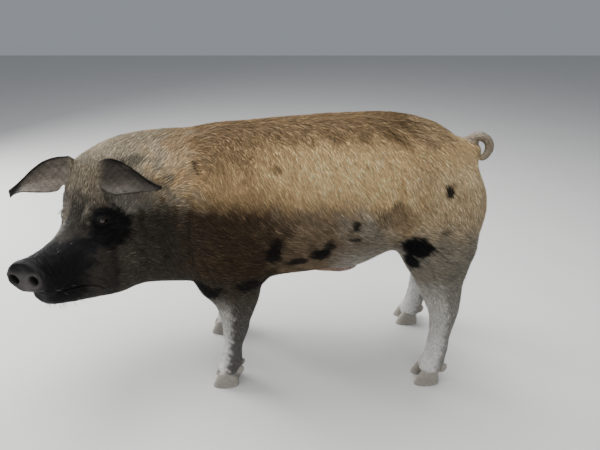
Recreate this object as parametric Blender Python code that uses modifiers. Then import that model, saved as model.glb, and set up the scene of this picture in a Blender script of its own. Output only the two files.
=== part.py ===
"""A boar pig that stands with its head turned to its left: one solid for each part of the body.

Units are metres. +Z is up, the pig's tail is towards +X, its left side towards -Y. The flesh is built
whole from lofts and ellipsoids, remeshed into one skin, then parted by thin cuts. Ears, tail, snout,
eyes and claws are made on their own and fitted to it.
"""
import math

import bmesh
import bpy
import numpy as np
from mathutils import Matrix, Vector

GAP = 0.0003
VOXEL = 0.0065
FLESH_FACES = 7600
RING_POINTS = 40

# Trunk rings from the front of the shoulders to the rump:
# (x, top of the back, widest level, underside, half width, squareness above, squareness below).
TRUNK = (
    (-0.400, 0.830, 0.600, 0.366, 0.140, 2.3, 2.3),
    (-0.330, 0.852, 0.600, 0.359, 0.170, 2.4, 2.4),
    (-0.250, 0.865, 0.600, 0.362, 0.184, 2.4, 2.3),
    (-0.120, 0.876, 0.600, 0.377, 0.190, 2.4, 2.2),
    (0.020, 0.888, 0.615, 0.398, 0.193, 2.4, 2.05),
    (0.150, 0.896, 0.635, 0.410, 0.190, 2.4, 2.0),
    (0.220, 0.898, 0.645, 0.438, 0.188, 2.4, 2.0),
    (0.290, 0.895, 0.655, 0.487, 0.185, 2.4, 2.0),
    (0.380, 0.874, 0.665, 0.530, 0.180, 2.3, 2.0),
    (0.455, 0.832, 0.665, 0.530, 0.158, 2.2, 2.1),
    (0.510, 0.775, 0.655, 0.545, 0.120, 2.1, 2.1),
    (0.545, 0.700, 0.640, 0.580, 0.055, 2.0, 2.0),
)
# Neck rings: (x, y, turn in degrees, top, widest level, underside, half width, squareness).
NECK = (
    (-0.300, 0.000, 0, 0.852, 0.600, 0.360, 0.168, 2.4),
    (-0.395, -0.002, 14, 0.850, 0.600, 0.358, 0.166, 2.4),
    (-0.465, -0.015, 32, 0.846, 0.600, 0.358, 0.158, 2.4),
    (-0.525, -0.045, 50, 0.834, 0.600, 0.362, 0.148, 2.4),
    (-0.562, -0.085, 66, 0.814, 0.600, 0.370, 0.138, 2.3),
    (-0.580, -0.125, 70, 0.790, 0.600, 0.382, 0.122, 2.3),
)

# Head pose: where the poll is, and how far the head turns to the left.
POLL = (-0.578, -0.100, 0.812)
HEAD_YAW = 70.0
# Rings of the skull and the muzzle, down to the mouth:
# (forward of the poll, top, widest level, underside, half width, squareness above, squareness below).
SKULL = (
    (-0.060, 0.004, -0.200, -0.420, 0.134, 2.2, 2.2),
    (-0.010, 0.000, -0.205, -0.410, 0.126, 2.2, 2.2),
    (0.025, -0.024, -0.230, -0.395, 0.106, 2.1, 2.3),
    (0.055, -0.078, -0.250, -0.375, 0.088, 2.0, 2.4),
    (0.085, -0.125, -0.262, -0.355, 0.077, 1.95, 2.5),
    (0.120, -0.161, -0.268, -0.338, 0.065, 1.9, 2.6),
    (0.160, -0.180, -0.266, -0.322, 0.055, 1.9, 2.6),
    (0.205, -0.188, -0.258, -0.308, 0.047, 1.9, 2.5),
    (0.240, -0.189, -0.248, -0.296, 0.0435, 1.95, 2.3),
    (0.262, -0.188, -0.238, -0.286, 0.0435, 2.05, 2.1),
)
# Rings of the lower jaw, from the jowls to the chin.
JAW = (
    (-0.020, -0.240, -0.320, -0.440, 0.122, 2.4),
    (0.040, -0.250, -0.320, -0.433, 0.110, 2.4),
    (0.095, -0.262, -0.322, -0.410, 0.088, 2.4),
    (0.140, -0.280, -0.327, -0.390, 0.068, 2.3),
    (0.180, -0.290, -0.325, -0.371, 0.055, 2.3),
    (0.215, -0.290, -0.318, -0.354, 0.046, 2.2),
    (0.240, -0.288, -0.311, -0.339, 0.038, 2.2),
    (0.254, -0.288, -0.303, -0.323, 0.027, 2.0),
)
# Path of the mouth on the left side, from the corner to the front: (forward, out, up).
MOUTH = (
    (0.138, 0.066, -0.322),
    (0.170, 0.058, -0.314),
    (0.200, 0.051, -0.305),
    (0.228, 0.044, -0.297),
    (0.246, 0.033, -0.291),
    (0.254, 0.015, -0.288),
)
MOUTH_OPEN = 0.0026
MOUTH_DEPTH = 0.009

# Limb stations from the top down: (x, y out from the middle, z, half length, half width).
FRONT_LEG = (
    (-0.235, 0.120, 0.600, 0.085, 0.050),
    (-0.232, 0.130, 0.500, 0.100, 0.058),
    (-0.218, 0.132, 0.420, 0.108, 0.056),
    (-0.203, 0.130, 0.367, 0.088, 0.050),
    (-0.203, 0.130, 0.296, 0.060, 0.043),
    (-0.211, 0.130, 0.221, 0.045, 0.040),
    (-0.219, 0.130, 0.168, 0.034, 0.033),
    (-0.230, 0.130, 0.110, 0.036, 0.033),
    (-0.237, 0.130, 0.070, 0.041, 0.038),
    (-0.247, 0.130, 0.046, 0.038, 0.038),
    (-0.252, 0.130, 0.034, 0.030, 0.030),
)
HIND_LEG = (
    (0.400, 0.110, 0.640, 0.120, 0.075),
    (0.414, 0.118, 0.520, 0.119, 0.078),
    (0.424, 0.120, 0.452, 0.093, 0.064),
    (0.438, 0.120, 0.390, 0.074, 0.052),
    (0.450, 0.120, 0.335, 0.062, 0.044),
    (0.461, 0.120, 0.285, 0.052, 0.038),
    (0.460, 0.120, 0.220, 0.042, 0.035),
    (0.459, 0.120, 0.160, 0.039, 0.033),
    (0.455, 0.120, 0.100, 0.040, 0.034),
    (0.450, 0.120, 0.070, 0.043, 0.038),
    (0.441, 0.120, 0.046, 0.039, 0.038),
    (0.436, 0.120, 0.034, 0.030, 0.030),
)
# Each leg: (name, stations, side, shift of the foot along x, shift of the foot outwards).
LEGS = (
    ("foreleg_left", FRONT_LEG, -1, 0.0, 0.0),
    ("foreleg_right", FRONT_LEG, 1, -0.055, 0.015),
    ("hindleg_left", HIND_LEG, -1, 0.0, 0.0),
    ("hindleg_right", HIND_LEG, 1, -0.002, 0.086),
)
SHIFT_TOP = 0.50
# What parts a leg from the torso: (x, y out from the middle, half length, half width, top, dome's height).
FRONT_REGION = (-0.212, 0.162, 0.140, 0.105, 0.460, 0.115)
HIND_REGION = (0.415, 0.172, 0.165, 0.140, 0.600, 0.170)

# Rounded forms on the middle plane, as (centre, radii): the sheath, its tip and the root of the tail.
MIDDLE_FORMS = (
    ((0.120, 0.0, 0.388), (0.085, 0.030, 0.030)),
    ((0.055, 0.0, 0.378), (0.026, 0.021, 0.021)),
    ((0.490, 0.0, 0.790), (0.050, 0.050, 0.040)),
)
# Those that come in pairs: shoulder, elbow, ham, stifle and scrotum.
PAIRED_FORMS = (
    ((-0.235, 0.112, 0.620), (0.105, 0.070, 0.170)),
    ((-0.150, 0.142, 0.440), (0.055, 0.038, 0.050)),
    ((0.440, 0.098, 0.640), (0.100, 0.086, 0.150)),
    ((0.350, 0.140, 0.540), (0.065, 0.040, 0.090)),
    ((0.505, 0.034, 0.620), (0.050, 0.038, 0.062)),
)
# The pairs on the head, in its own frame (forward, out, up): jowl, cheek, brow and upper lip.
HEAD_FORMS = (
    ((-0.045, 0.066, -0.300), (0.125, 0.070, 0.130)),
    ((0.045, 0.052, -0.292), (0.120, 0.052, 0.100)),
    ((0.036, 0.046, -0.128), (0.044, 0.034, 0.044)),
    ((0.205, 0.030, -0.286), (0.055, 0.024, 0.013)),
)

EYE = (0.0607, 0.0573, -0.1664)
EYE_LOOK = (0.42, 0.90, 0.12)
EYE_RADIUS = 0.0140
LID_RADII = (0.0178, 0.0225, 0.0185)
FISSURE = (0.0125, 0.0062)

# The snout's disc, from back to front: (forward, share of the full size).
DISC = (
    (0.2623, 0.95),
    (0.2680, 1.00),
    (0.2790, 1.03),
    (0.2870, 1.00),
    (0.2915, 0.91),
    (0.2925, 0.80),
    (0.2915, 0.50),
)
# The disc's face turns a little to its left: a step across takes its front rings back by this share,
# counted from this far right of the middle.
DISC_SLANT = 0.20
DISC_PIVOT = 0.041
# Its half width and half height, and the level of its centre.
DISC_HALF = (0.0465, 0.0460)
DISC_LEVEL = -0.234
NOSTRIL = (0.298, 0.0255, -0.236)
NOSTRIL_RADII = (0.028, 0.0118, 0.0145)

# Ear rows from inside the head to the tip: (upper edge, lower edge, depth of the cup, thickness).
EAR = (
    ((0.012, 0.030, -0.022), (0.035, 0.050, -0.080), 0.006, 0.020),
    ((0.012, 0.056, -0.010), (0.045, 0.082, -0.085), 0.011, 0.015),
    ((0.012, 0.088, -0.005), (0.052, 0.110, -0.087), 0.020, 0.011),
    ((0.012, 0.122, -0.012), (0.048, 0.140, -0.085), 0.023, 0.009),
    ((0.012, 0.155, -0.030), (0.038, 0.168, -0.084), 0.018, 0.008),
    ((0.010, 0.186, -0.052), (0.027, 0.193, -0.083), 0.011, 0.007),
    ((0.008, 0.212, -0.067), (0.016, 0.216, -0.083), 0.005, 0.0065),
    ((0.006, 0.232, -0.073), (0.008, 0.234, -0.081), 0.002, 0.005),
)
EAR_SPAN = 7
# How each ear is held: (forward turn and droop in degrees, share of the length, curl of the tip, drop).
EAR_TURN = {-1: (-8, 0, 0.91, 0.0, 0.0), 1: (22, 7.5, 1.19, 1.0, 0.010)}
# What a full curl does to the tip: drop of its upper and its lower edge, and added thickness.
EAR_CURL = (0.010, 0.022, 0.005)

# Tail: (x, y, z, radius).
TAIL = (
    (0.474, 0.000, 0.785, 0.023),
    (0.492, 0.000, 0.810, 0.019),
    (0.509, -0.003, 0.826, 0.0160),
    (0.527, -0.009, 0.829, 0.0140),
    (0.543, -0.014, 0.817, 0.0130),
    (0.548, -0.018, 0.797, 0.0125),
    (0.540, -0.019, 0.777, 0.0110),
    (0.527, -0.016, 0.766, 0.0085),
)

# One front claw, from the coronet to the sole: (z, heel, toe, half width), measured from the foot's middle.
CLAW = (
    (0.056, -0.018, 0.026, 0.0165),
    (0.042, -0.028, 0.034, 0.0185),
    (0.028, -0.033, 0.041, 0.0195),
    (0.012, -0.036, 0.048, 0.0195),
    (0.003, -0.036, 0.051, 0.0185),
    (0.000, -0.033, 0.048, 0.0170),
)
CLAW_SPREAD = 0.0215
CLAW_TOE_OUT = 7.0
DEWCLAW_RADII = (0.011, 0.0095, 0.017)

COLOURS = {
    "coat": (0.42, 0.29, 0.17),
    "ear": (0.17, 0.12, 0.10),
    "snout": (0.10, 0.08, 0.08),
    "tail": (0.24, 0.21, 0.18),
    "leg": (0.50, 0.43, 0.34),
    "claw": (0.36, 0.32, 0.27),
    "eye": (0.02, 0.014, 0.01),
}


def smooth_rows(rows, count):
    """count rows on a Catmull-Rom curve through the given ones."""
    rows = np.array(rows, float)
    padded = np.vstack([2 * rows[0] - rows[1], rows, 2 * rows[-1] - rows[-2]])
    made = []
    for t in np.linspace(0, len(rows) - 1, count):
        i = min(int(t), len(rows) - 2)
        f = t - i
        a, b, c, d = padded[i : i + 4]
        bend = (2 * a - 5 * b + 4 * c - d) * f**2
        twist = (3 * b - a - 3 * c + d) * f**3
        made.append(0.5 * (2 * b + (c - a) * f + bend + twist))
    return np.array(made)


def object_from(bm, name, home):
    mesh = bpy.data.meshes.new(name)
    bm.to_mesh(mesh)
    bm.free()
    obj = bpy.data.objects.new(name, mesh)
    home.objects.link(obj)
    return obj


def loft(name, rings, home):
    """A closed tube through rings of equally many points."""
    bm = bmesh.new()
    rows = [[bm.verts.new(p) for p in ring] for ring in rings]
    for a, b in zip(rows, rows[1:]):
        for i in range(len(a)):
            j = (i + 1) % len(a)
            bm.faces.new((a[i], a[j], b[j], b[i]))
    bm.faces.new(rows[0][::-1])
    bm.faces.new(rows[-1])
    bmesh.ops.recalc_face_normals(bm, faces=bm.faces)
    return object_from(bm, name, home)


def ellipsoid(name, centre, radii, home, turn=None, segments=28):
    bm = bmesh.new()
    rotation = (turn or Matrix.Identity(3)).to_4x4()
    matrix = Matrix.Translation(Vector(centre)) @ rotation @ Matrix.Diagonal((*radii, 1))
    bmesh.ops.create_uvsphere(bm, u_segments=segments, v_segments=segments // 2, radius=1, matrix=matrix)
    return object_from(bm, name, home)


def box(name, centre, size, home, turn=None):
    bm = bmesh.new()
    rotation = (turn or Matrix.Identity(3)).to_4x4()
    matrix = Matrix.Translation(Vector(centre)) @ rotation @ Matrix.Diagonal((*size, 1))
    bmesh.ops.create_cube(bm, size=1, matrix=matrix)
    return object_from(bm, name, home)


def body_ring(origin, side, up, top, wide, bottom, half, square, square_below=None):
    """A ring across the body: half superellipses above and below, which meet at the widest level."""
    ring = []
    for a in np.linspace(0, 2 * math.pi, RING_POINTS, endpoint=False):
        c, s = math.cos(a), math.sin(a)
        power = 2 / (square if s > 0 else square_below or square)
        across = half * math.copysign(abs(c) ** power, c)
        height = (top - wide) if s > 0 else (wide - bottom)
        rise = wide + height * math.copysign(abs(s) ** power, s)
        ring.append(Vector(origin) + Vector(side) * across + Vector(up) * rise)
    return ring


def level_axes(yaw):
    """(forward, left) of a part that turns to its left by yaw degrees."""
    yaw = math.radians(yaw)
    return Vector((-math.cos(yaw), -math.sin(yaw), 0)), Vector((math.sin(yaw), -math.cos(yaw), 0))


UP = Vector((0, 0, 1))
FORWARD, LEFT = level_axes(HEAD_YAW)
HEAD_TURN = Matrix((FORWARD, LEFT, UP)).transposed()


def head_point(forward, left, up):
    return Vector(POLL) + HEAD_TURN @ Vector((forward, left, up))


def head_loft(name, rows, count, home):
    rings = [body_ring(head_point(row[0], 0, 0), LEFT, UP, *row[1:]) for row in smooth_rows(rows, count)]
    return loft(name, rings, home)


def trunk(home):
    rings = [body_ring((x, 0, 0), (0, -1, 0), UP, *sizes) for x, *sizes in smooth_rows(TRUNK, 44)]
    return loft("trunk", rings, home)


def neck(home):
    rings = []
    for x, y, yaw, *sizes in smooth_rows(NECK, 16):
        rings.append(body_ring((x, y, 0), level_axes(yaw)[1], UP, *sizes))
    return loft("nape", rings, home)


def leg_stations(stations, side, along, outwards):
    """The stations of one leg, with its foot shifted and the shift fading out towards the top."""
    placed = []
    for x, y, z, length, width in stations:
        share = min(max((SHIFT_TOP - z) / SHIFT_TOP, 0), 1)
        placed.append((x + along * share, side * (y + outwards * share), z, length, width))
    return placed


def tube(name, rows, home, points=26):
    """A tube through (x, y, z, half size fore and aft, half size across), its rings square to its line."""
    rings = []
    for i, (x, y, z, length, width) in enumerate(rows):
        before, after = rows[max(i - 1, 0)][:3], rows[min(i + 1, len(rows) - 1)][:3]
        line = Vector(np.array(after) - np.array(before)).normalized()
        fore = line.cross(Vector((0, 1, 0))).normalized()
        across = fore.cross(line).normalized()
        ring = []
        for t in np.linspace(0, 2 * math.pi, points, endpoint=False):
            ring.append(Vector((x, y, z)) + fore * length * math.cos(t) + across * width * math.sin(t))
        rings.append(ring)
    return loft(name, rings, home)


def apply_modifiers(obj):
    graph = bpy.context.evaluated_depsgraph_get()
    mesh = bpy.data.meshes.new_from_object(obj.evaluated_get(graph))
    obj.modifiers.clear()
    obj.data = mesh
    return obj


def largest_shell(obj):
    """Keeps the one closed surface with the most faces."""
    bm = bmesh.new()
    bm.from_mesh(obj.data)
    left, shells = set(bm.faces), []
    while left:
        shell, front = set(), [left.pop()]
        while front:
            face = front.pop()
            shell.add(face)
            for edge in face.edges:
                for other in edge.link_faces:
                    if other in left:
                        left.discard(other)
                        front.append(other)
        shells.append(shell)
    shells.sort(key=len)
    for shell in shells[:-1]:
        bmesh.ops.delete(bm, geom=list(shell), context="FACES")
    bm.to_mesh(obj.data)
    bm.free()
    return obj


def boolean(obj, cutter, operation, solver="EXACT"):
    cutter.hide_render = True
    cutter.display_type = "WIRE"
    modifier = obj.modifiers.new(operation.lower(), "BOOLEAN")
    modifier.object = cutter
    modifier.operation = operation
    modifier.solver = solver
    return apply_modifiers(obj)


def remove(*objects):
    for obj in objects:
        bpy.data.objects.remove(obj)


def join(name, objects, home):
    """One object that holds the meshes of all of them."""
    bm = bmesh.new()
    for obj in objects:
        bm.from_mesh(obj.data)
    remove(*objects)
    return object_from(bm, name, home)


def copy_of(obj, name, home):
    other = bpy.data.objects.new(name, obj.data.copy())
    home.objects.link(other)
    return other


def swollen(obj, home, by=1.6 * GAP):
    """A copy whose surface lies a little outside the first one's."""
    other = copy_of(obj, "swollen", home)
    modifier = other.modifiers.new("swell", "DISPLACE")
    modifier.mid_level = 0
    modifier.strength = by
    return apply_modifiers(other)


def fit_to(part, flesh, home):
    """Cuts the part back so that it meets the flesh with only the gap between them."""
    cutter = swollen(flesh, home)
    boolean(part, cutter, "DIFFERENCE")
    remove(cutter)
    return largest_shell(part)


def flesh_forms(home):
    forms = [trunk(home), neck(home)]
    forms += [head_loft("skull", SKULL, 30, home), head_loft("jaw", JAW, 24, home)]
    for name, stations, side, along, outwards in LEGS:
        rows = smooth_rows(leg_stations(stations, side, along, outwards), 36)
        forms.append(tube(name, rows, home))
    for centre, radii in MIDDLE_FORMS:
        forms.append(ellipsoid("form", centre, radii, home))
    for side in (-1, 1):
        for (x, y, z), radii in PAIRED_FORMS:
            forms.append(ellipsoid("form", (x, side * y, z), radii, home))
        for (forward, out, up), radii in HEAD_FORMS:
            forms.append(ellipsoid("form", head_point(forward, -side * out, up), radii, home, HEAD_TURN))
    return forms


def within(distance, reach, fade):
    """1 well inside the reach, 0 outside it."""
    return min(max((reach - distance) / fade, 0), 1)


def whole_flesh(home):
    """One smooth closed mesh around all the forms, with finer faces on the head and the feet."""
    flesh = join("flesh", flesh_forms(home), home)
    remesh = flesh.modifiers.new("remesh", "REMESH")
    remesh.mode = "VOXEL"
    remesh.voxel_size = VOXEL
    apply_modifiers(flesh)
    broad = flesh.vertex_groups.new(name="broad")
    soft = flesh.vertex_groups.new(name="soft")
    head, muzzle = head_point(0.10, 0, -0.22), head_point(0.25, 0, -0.25)
    for vertex in flesh.data.vertices:
        on_head = within((vertex.co - head).length, 0.34, 0.10)
        on_muzzle = within((vertex.co - muzzle).length, 0.17, 0.09)
        on_foot = within(vertex.co.z, 0.25, 0.12)
        broad.add([vertex.index], 1 - 0.8 * max(on_head, 0.6 * on_foot), "REPLACE")
        soft.add([vertex.index], 1 - 0.65 * max(on_muzzle, on_foot), "REPLACE")
    smooth = flesh.modifiers.new("smooth", "SMOOTH")
    smooth.factor = 0.5
    smooth.iterations = 50
    smooth.vertex_group = "soft"
    decimate = flesh.modifiers.new("decimate", "DECIMATE")
    decimate.ratio = FLESH_FACES / (2 * len(flesh.data.polygons))
    decimate.vertex_group = "broad"
    decimate.vertex_group_factor = 0.001
    apply_modifiers(flesh)
    flesh.vertex_groups.clear()
    return largest_shell(flesh)


def mouth_blade(home):
    """A thin blade that follows the mouth from corner to corner."""
    path = list(MOUTH) + [(forward, -out, up) for forward, out, up in MOUTH[::-1]]
    path = smooth_rows(path, 40)
    rings = []
    for i, point in enumerate(path):
        line = Vector(path[min(i + 1, 39)] - path[max(i - 1, 0)])
        outwards = Vector((line.y, -line.x, 0)).normalized()
        if outwards.dot(Vector((0.3, point[1], 0))) < 0:
            outwards.negate()
        ends = min(i, 39 - i, 6) / 6
        half = MOUTH_OPEN / 2 * (0.35 + 0.65 * ends)
        a, b = Vector(point) - outwards * MOUTH_DEPTH, Vector(point) + outwards * 0.020
        ring = [a + UP * half * 0.6, b + UP * half, b - UP * half, a - UP * half * 0.6]
        rings.append([head_point(*corner) for corner in ring])
    return loft("mouth_blade", rings, home)


def eye_frame(side):
    """Where an eye sits, and the turn that points its X axis out of the head."""
    look = HEAD_TURN @ Vector((EYE_LOOK[0], side * EYE_LOOK[1], EYE_LOOK[2])).normalized()
    level = UP.cross(look).normalized()
    return head_point(EYE[0], side * EYE[1], EYE[2]), Matrix((look, level, look.cross(level))).transposed()


def add_lids(head, side, cuts):
    """Lids as a low dome with an almond opening, and behind them a socket for the eye."""
    centre, turn = eye_frame(side)
    dome = ellipsoid("lids", centre, LID_RADII, cuts, turn, 18)
    boolean(head, dome, "UNION")
    almond = []
    for t in np.linspace(0, 2 * math.pi, 20, endpoint=False):
        tall = FISSURE[1] * math.copysign(abs(math.sin(t)) ** 1.3, math.sin(t))
        almond.append(Vector((0, FISSURE[0] * math.cos(t), tall)))
    rings = [[centre + turn @ (point + Vector((depth, 0, 0))) for point in almond] for depth in (0.004, 0.03)]
    opening = loft("fissure", rings, cuts)
    boolean(head, opening, "DIFFERENCE")
    socket = ellipsoid("socket", centre, (EYE_RADIUS + 2 * GAP,) * 3, cuts, turn, 16)
    boolean(head, socket, "DIFFERENCE")
    remove(dome, opening, socket)
    return head


def parted(flesh, cutter, name, home):
    """Takes what lies inside the cutter as a new object. The rest keeps a thin gap from it."""
    inside = copy_of(flesh, name, home)
    boolean(inside, cutter, "INTERSECT")
    return largest_shell(inside)


def half_space(point, yaw, dip, thickness, home):
    """A large block in front of a plane through the point that faces along yaw and dips by dip degrees."""
    forward, left = level_axes(yaw)
    lean = Matrix.Rotation(math.radians(dip), 3, left)
    forward = lean @ forward
    turn = Matrix((forward, left, forward.cross(left))).transposed()
    return box("half_space", Vector(point) + forward * (1.0 + thickness), (2.0, 3.0, 3.0), home, turn)


def cut_off(flesh, point, yaw, dip, name, home, cuts):
    """Parts what lies in front of a plane from the flesh, and leaves the gap between them."""
    front = half_space(point, yaw, dip, GAP / 2, cuts)
    piece = parted(flesh, front, name, home)
    wide = half_space(point, yaw, dip, -GAP / 2, cuts)
    boolean(flesh, wide, "DIFFERENCE")
    largest_shell(flesh)
    remove(front, wide)
    return piece


def leg_region(stations, side, along, grow, home):
    """An upright shape with a domed top that takes in one leg."""
    x, y, reach, width, top, dome = FRONT_REGION if stations is FRONT_LEG else HIND_REGION
    rings = []
    levels = [(-0.05, 1.0), (top - dome, 1.0)]
    levels += [(top - dome + dome * math.sin(t), math.cos(t)) for t in np.linspace(0.3, 1.4, 5)]
    for z, share in levels:
        lean = along * min(max((SHIFT_TOP - z) / SHIFT_TOP, 0), 1)
        a, b = reach * share + grow, width * share + grow
        ring = []
        for t in np.linspace(0, 2 * math.pi, 26, endpoint=False):
            ring.append(Vector((x + lean + a * math.cos(t), side * (y + b * math.sin(t)), z + grow)))
        rings.append(ring)
    return loft("leg_region", rings, home)


def ear(side, home):
    """A leaf with a hollow front: closed rings across it, bowed backwards by the depth of its cup."""
    turn, droop = (math.radians(v) for v in EAR_TURN[side][:2])
    root = Vector((0.02, 0.07, -0.04))
    swing = Matrix.Rotation(-turn, 3, "Z") @ Matrix.Rotation(-droop, 3, "X")
    flat = [[*upper, *lower, cup, thick] for upper, lower, cup, thick in EAR]
    rings = []
    for i, row in enumerate(smooth_rows(flat, 15)):
        upper, lower, cup, thick = Vector(row[:3]), Vector(row[3:6]), row[6], row[7]
        curl = EAR_TURN[side][3] * max(i / 14 - 0.62, 0) / 0.38
        upper.z -= EAR_CURL[0] * curl**2
        lower.z -= EAR_CURL[1] * curl**2
        thick += EAR_CURL[2] * curl
        middle, spine = [], (lower - upper).normalized()
        back = Vector((-1, 0.15, 0.10)).normalized()
        for k in range(EAR_SPAN):
            t = k / (EAR_SPAN - 1)
            middle.append(upper.lerp(lower, t) + back * cup * math.sin(math.pi * t) ** 0.8)
        behind = [p + back * thick / 2 for p in middle[1:-1]]
        ahead = [p - back * thick / 2 for p in middle[1:-1]][::-1]
        ring = [middle[0] - spine * thick / 4, *behind, middle[-1] + spine * thick / 4, *ahead]
        inside = min(i / 3, 1)
        placed = []
        for point in ring:
            away = point - root
            away.y *= EAR_TURN[side][2]
            away.z -= EAR_TURN[side][4]
            swung = root + swing @ away
            point = point.lerp(swung, inside)
            placed.append(head_point(point.x, -side * point.y, point.z))
        rings.append(placed)
    return loft("ear_left" if side == -1 else "ear_right", rings, home)


def disc_point(forward, left, up):
    """A point of the snout's disc, whose face turns to its left."""
    front = min(max((forward - 0.254) / 0.020, 0), 1)
    slanted = forward - DISC_SLANT * (left + DISC_PIVOT) * front
    return head_point(max(slanted, DISC[0][0]), left, up)


def snout(home, cuts):
    """The disc of the snout with its two nostrils."""
    rings = []
    for forward, share in smooth_rows(DISC, 9):
        ring = []
        for t in np.linspace(0, 2 * math.pi, 28, endpoint=False):
            across = DISC_HALF[0] * share * math.cos(t)
            rise = DISC_HALF[1] * share * math.sin(t) * (1 + 0.05 * math.sin(t))
            ring.append(disc_point(forward, across, DISC_LEVEL + rise))
        rings.append(ring)
    disc = loft("snout", rings, home)
    for side in (-1, 1):
        lean = HEAD_TURN @ Matrix.Rotation(math.radians(-18 * side), 3, "X")
        place = disc_point(NOSTRIL[0], side * NOSTRIL[1], NOSTRIL[2])
        hole = ellipsoid("nostril", place, NOSTRIL_RADII, cuts, lean, 14)
        boolean(disc, hole, "DIFFERENCE")
        remove(hole)
    return disc


def claw(name, foot, side, home):
    """One main claw of a foot: flat on its sole, rounded outwards, straight where it faces the other claw."""
    rings = []
    for z, heel, toe, half in CLAW:
        ring = []
        for t in np.linspace(0, 2 * math.pi, 14, endpoint=False):
            c, s = math.cos(t), math.sin(t)
            length = toe if c > 0 else -heel
            x = -length * math.copysign(abs(c) ** 0.85, c)
            y = half * math.copysign(abs(s) ** 0.8, s) * (1 - 0.28 * max(c, 0) ** 2)
            y = y if s * side > 0 else y * 0.80
            ring.append(Vector((x, y, z)))
        rings.append(ring)
    turn = Matrix.Rotation(math.radians(-CLAW_TOE_OUT * side), 3, "Z")
    place = Vector((foot[0] + 0.006, foot[1] + side * CLAW_SPREAD, 0))
    return loft(name, [[place + turn @ p for p in ring] for ring in rings], home)


def dewclaw(name, foot, side, home):
    turn = Matrix.Rotation(math.radians(32), 3, "Y") @ Matrix.Rotation(math.radians(14 * side), 3, "X")
    return ellipsoid(name, (foot[0] + 0.050, foot[1] + side * 0.020, 0.066), DEWCLAW_RADII, home, turn, 10)


def tail(home):
    rows = []
    for x, y, z, radius in smooth_rows(TAIL, 18):
        rows.append((x, y, z, radius, radius))
    return tube("tail", rows, home, 10)


def material(name, colour, roughness=0.6):
    made = bpy.data.materials.new(name)
    made.use_nodes = True
    shader = made.node_tree.nodes["Principled BSDF"]
    shader.inputs["Base Color"].default_value = (*colour, 1)
    shader.inputs["Roughness"].default_value = roughness
    made.diffuse_color = (*colour, 1)
    return made


def paint(obj, colour, roughness=0.6):
    obj.data.materials.clear()
    obj.data.materials.append(material(obj.name, colour, roughness))


def collection(name, cutters=False):
    made = bpy.data.collections.new(name)
    bpy.context.scene.collection.children.link(made)
    made.hide_render = cutters
    return made


def tidy(obj):
    """Welds what a cut left doubled, and leaves triangles only."""
    bm = bmesh.new()
    bm.from_mesh(obj.data)
    bmesh.ops.remove_doubles(bm, verts=bm.verts, dist=0.00002)
    bmesh.ops.dissolve_degenerate(bm, edges=bm.edges, dist=0.00002)
    bmesh.ops.triangulate(bm, faces=bm.faces)
    bm.to_mesh(obj.data)
    bm.free()


def build():
    for obj in list(bpy.data.objects):
        bpy.data.objects.remove(obj)
    home = collection("boar")
    cuts = collection("cutters", cutters=True)
    flesh = whole_flesh(cuts)
    flat = half_space(head_point(0.262, 0, 0), HEAD_YAW, 0, 0, cuts)
    boolean(flesh, flat, "DIFFERENCE")
    remove(flat)
    largest_shell(flesh)

    parts = {}
    for name, stations, side, along, outwards in LEGS:
        region = leg_region(stations, side, along, 0, cuts)
        parts[name] = parted(flesh, region, name, home)
        wide = leg_region(stations, side, along, GAP, cuts)
        boolean(flesh, wide, "DIFFERENCE")
        largest_shell(flesh)
        remove(region, wide)
    ahead = cut_off(flesh, (-0.335, 0, 0.60), 20, 0, "ahead", cuts, cuts)
    torso = copy_of(flesh, "torso", home)
    parts["torso"] = torso
    parts["head"] = cut_off(ahead, (-0.548, -0.040, 0.60), 54, 0, "head", home, cuts)
    parts["neck"] = copy_of(ahead, "neck", home)
    remove(flesh, ahead)

    for side in (-1, 1):
        word = "left" if side == -1 else "right"
        made = ear(side, home)
        parts[made.name] = fit_to(made, parts["head"], cuts)
        centre, turn = eye_frame(-side)
        name = "eye_" + word
        parts[name] = ellipsoid(name, centre, (EYE_RADIUS,) * 3, home, turn, 14)
        add_lids(parts["head"], -side, cuts)
    blade = mouth_blade(cuts)
    boolean(parts["head"], blade, "DIFFERENCE")
    remove(blade)
    largest_shell(parts["head"])
    parts["snout"] = snout(home, cuts)
    parts["tail"] = fit_to(tail(home), torso, cuts)

    for name, stations, side, along, outwards in LEGS:
        foot = leg_stations(stations, side, along, outwards)[-1]
        place = name.replace("foreleg", "front").replace("hindleg", "hind")
        for word, way in (("outer", side), ("inner", -side)):
            made = claw(f"claw_{place}_{word}", foot, way, home)
            parts[made.name] = fit_to(made, parts[name], cuts)
            made = dewclaw(f"dewclaw_{place}_{word}", foot, way, home)
            parts[made.name] = fit_to(made, parts[name], cuts)

    for name, obj in parts.items():
        tidy(obj)
        kind = name.split("_")[0]
        if kind in ("foreleg", "hindleg"):
            paint(obj, COLOURS["leg"])
        elif kind in ("claw", "dewclaw"):
            paint(obj, COLOURS["claw"], 0.5)
        elif kind == "eye":
            paint(obj, COLOURS["eye"], 0.1)
        elif kind in COLOURS:
            paint(obj, COLOURS[kind])
        else:
            paint(obj, COLOURS["coat"])

    points = np.array([vertex.co[:] for obj in parts.values() for vertex in obj.data.vertices])
    low, high = points.min(axis=0), points.max(axis=0)
    shift = Matrix.Translation((-(low[0] + high[0]) / 2, -(low[1] + high[1]) / 2, -low[2]))
    for obj in parts.values():
        obj.data.transform(shift)
        obj.data.update()
    bpy.data.collections.remove(cuts)


build()
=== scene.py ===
"""Looks of the boar: one skin with its folds, lids, nostrils and mouth, a coat of bristle tufts, eyes and claws."""
import math

import bmesh
import bpy
import numpy as np
from mathutils import Matrix, Vector
from mathutils.bvhtree import BVHTree


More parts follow.
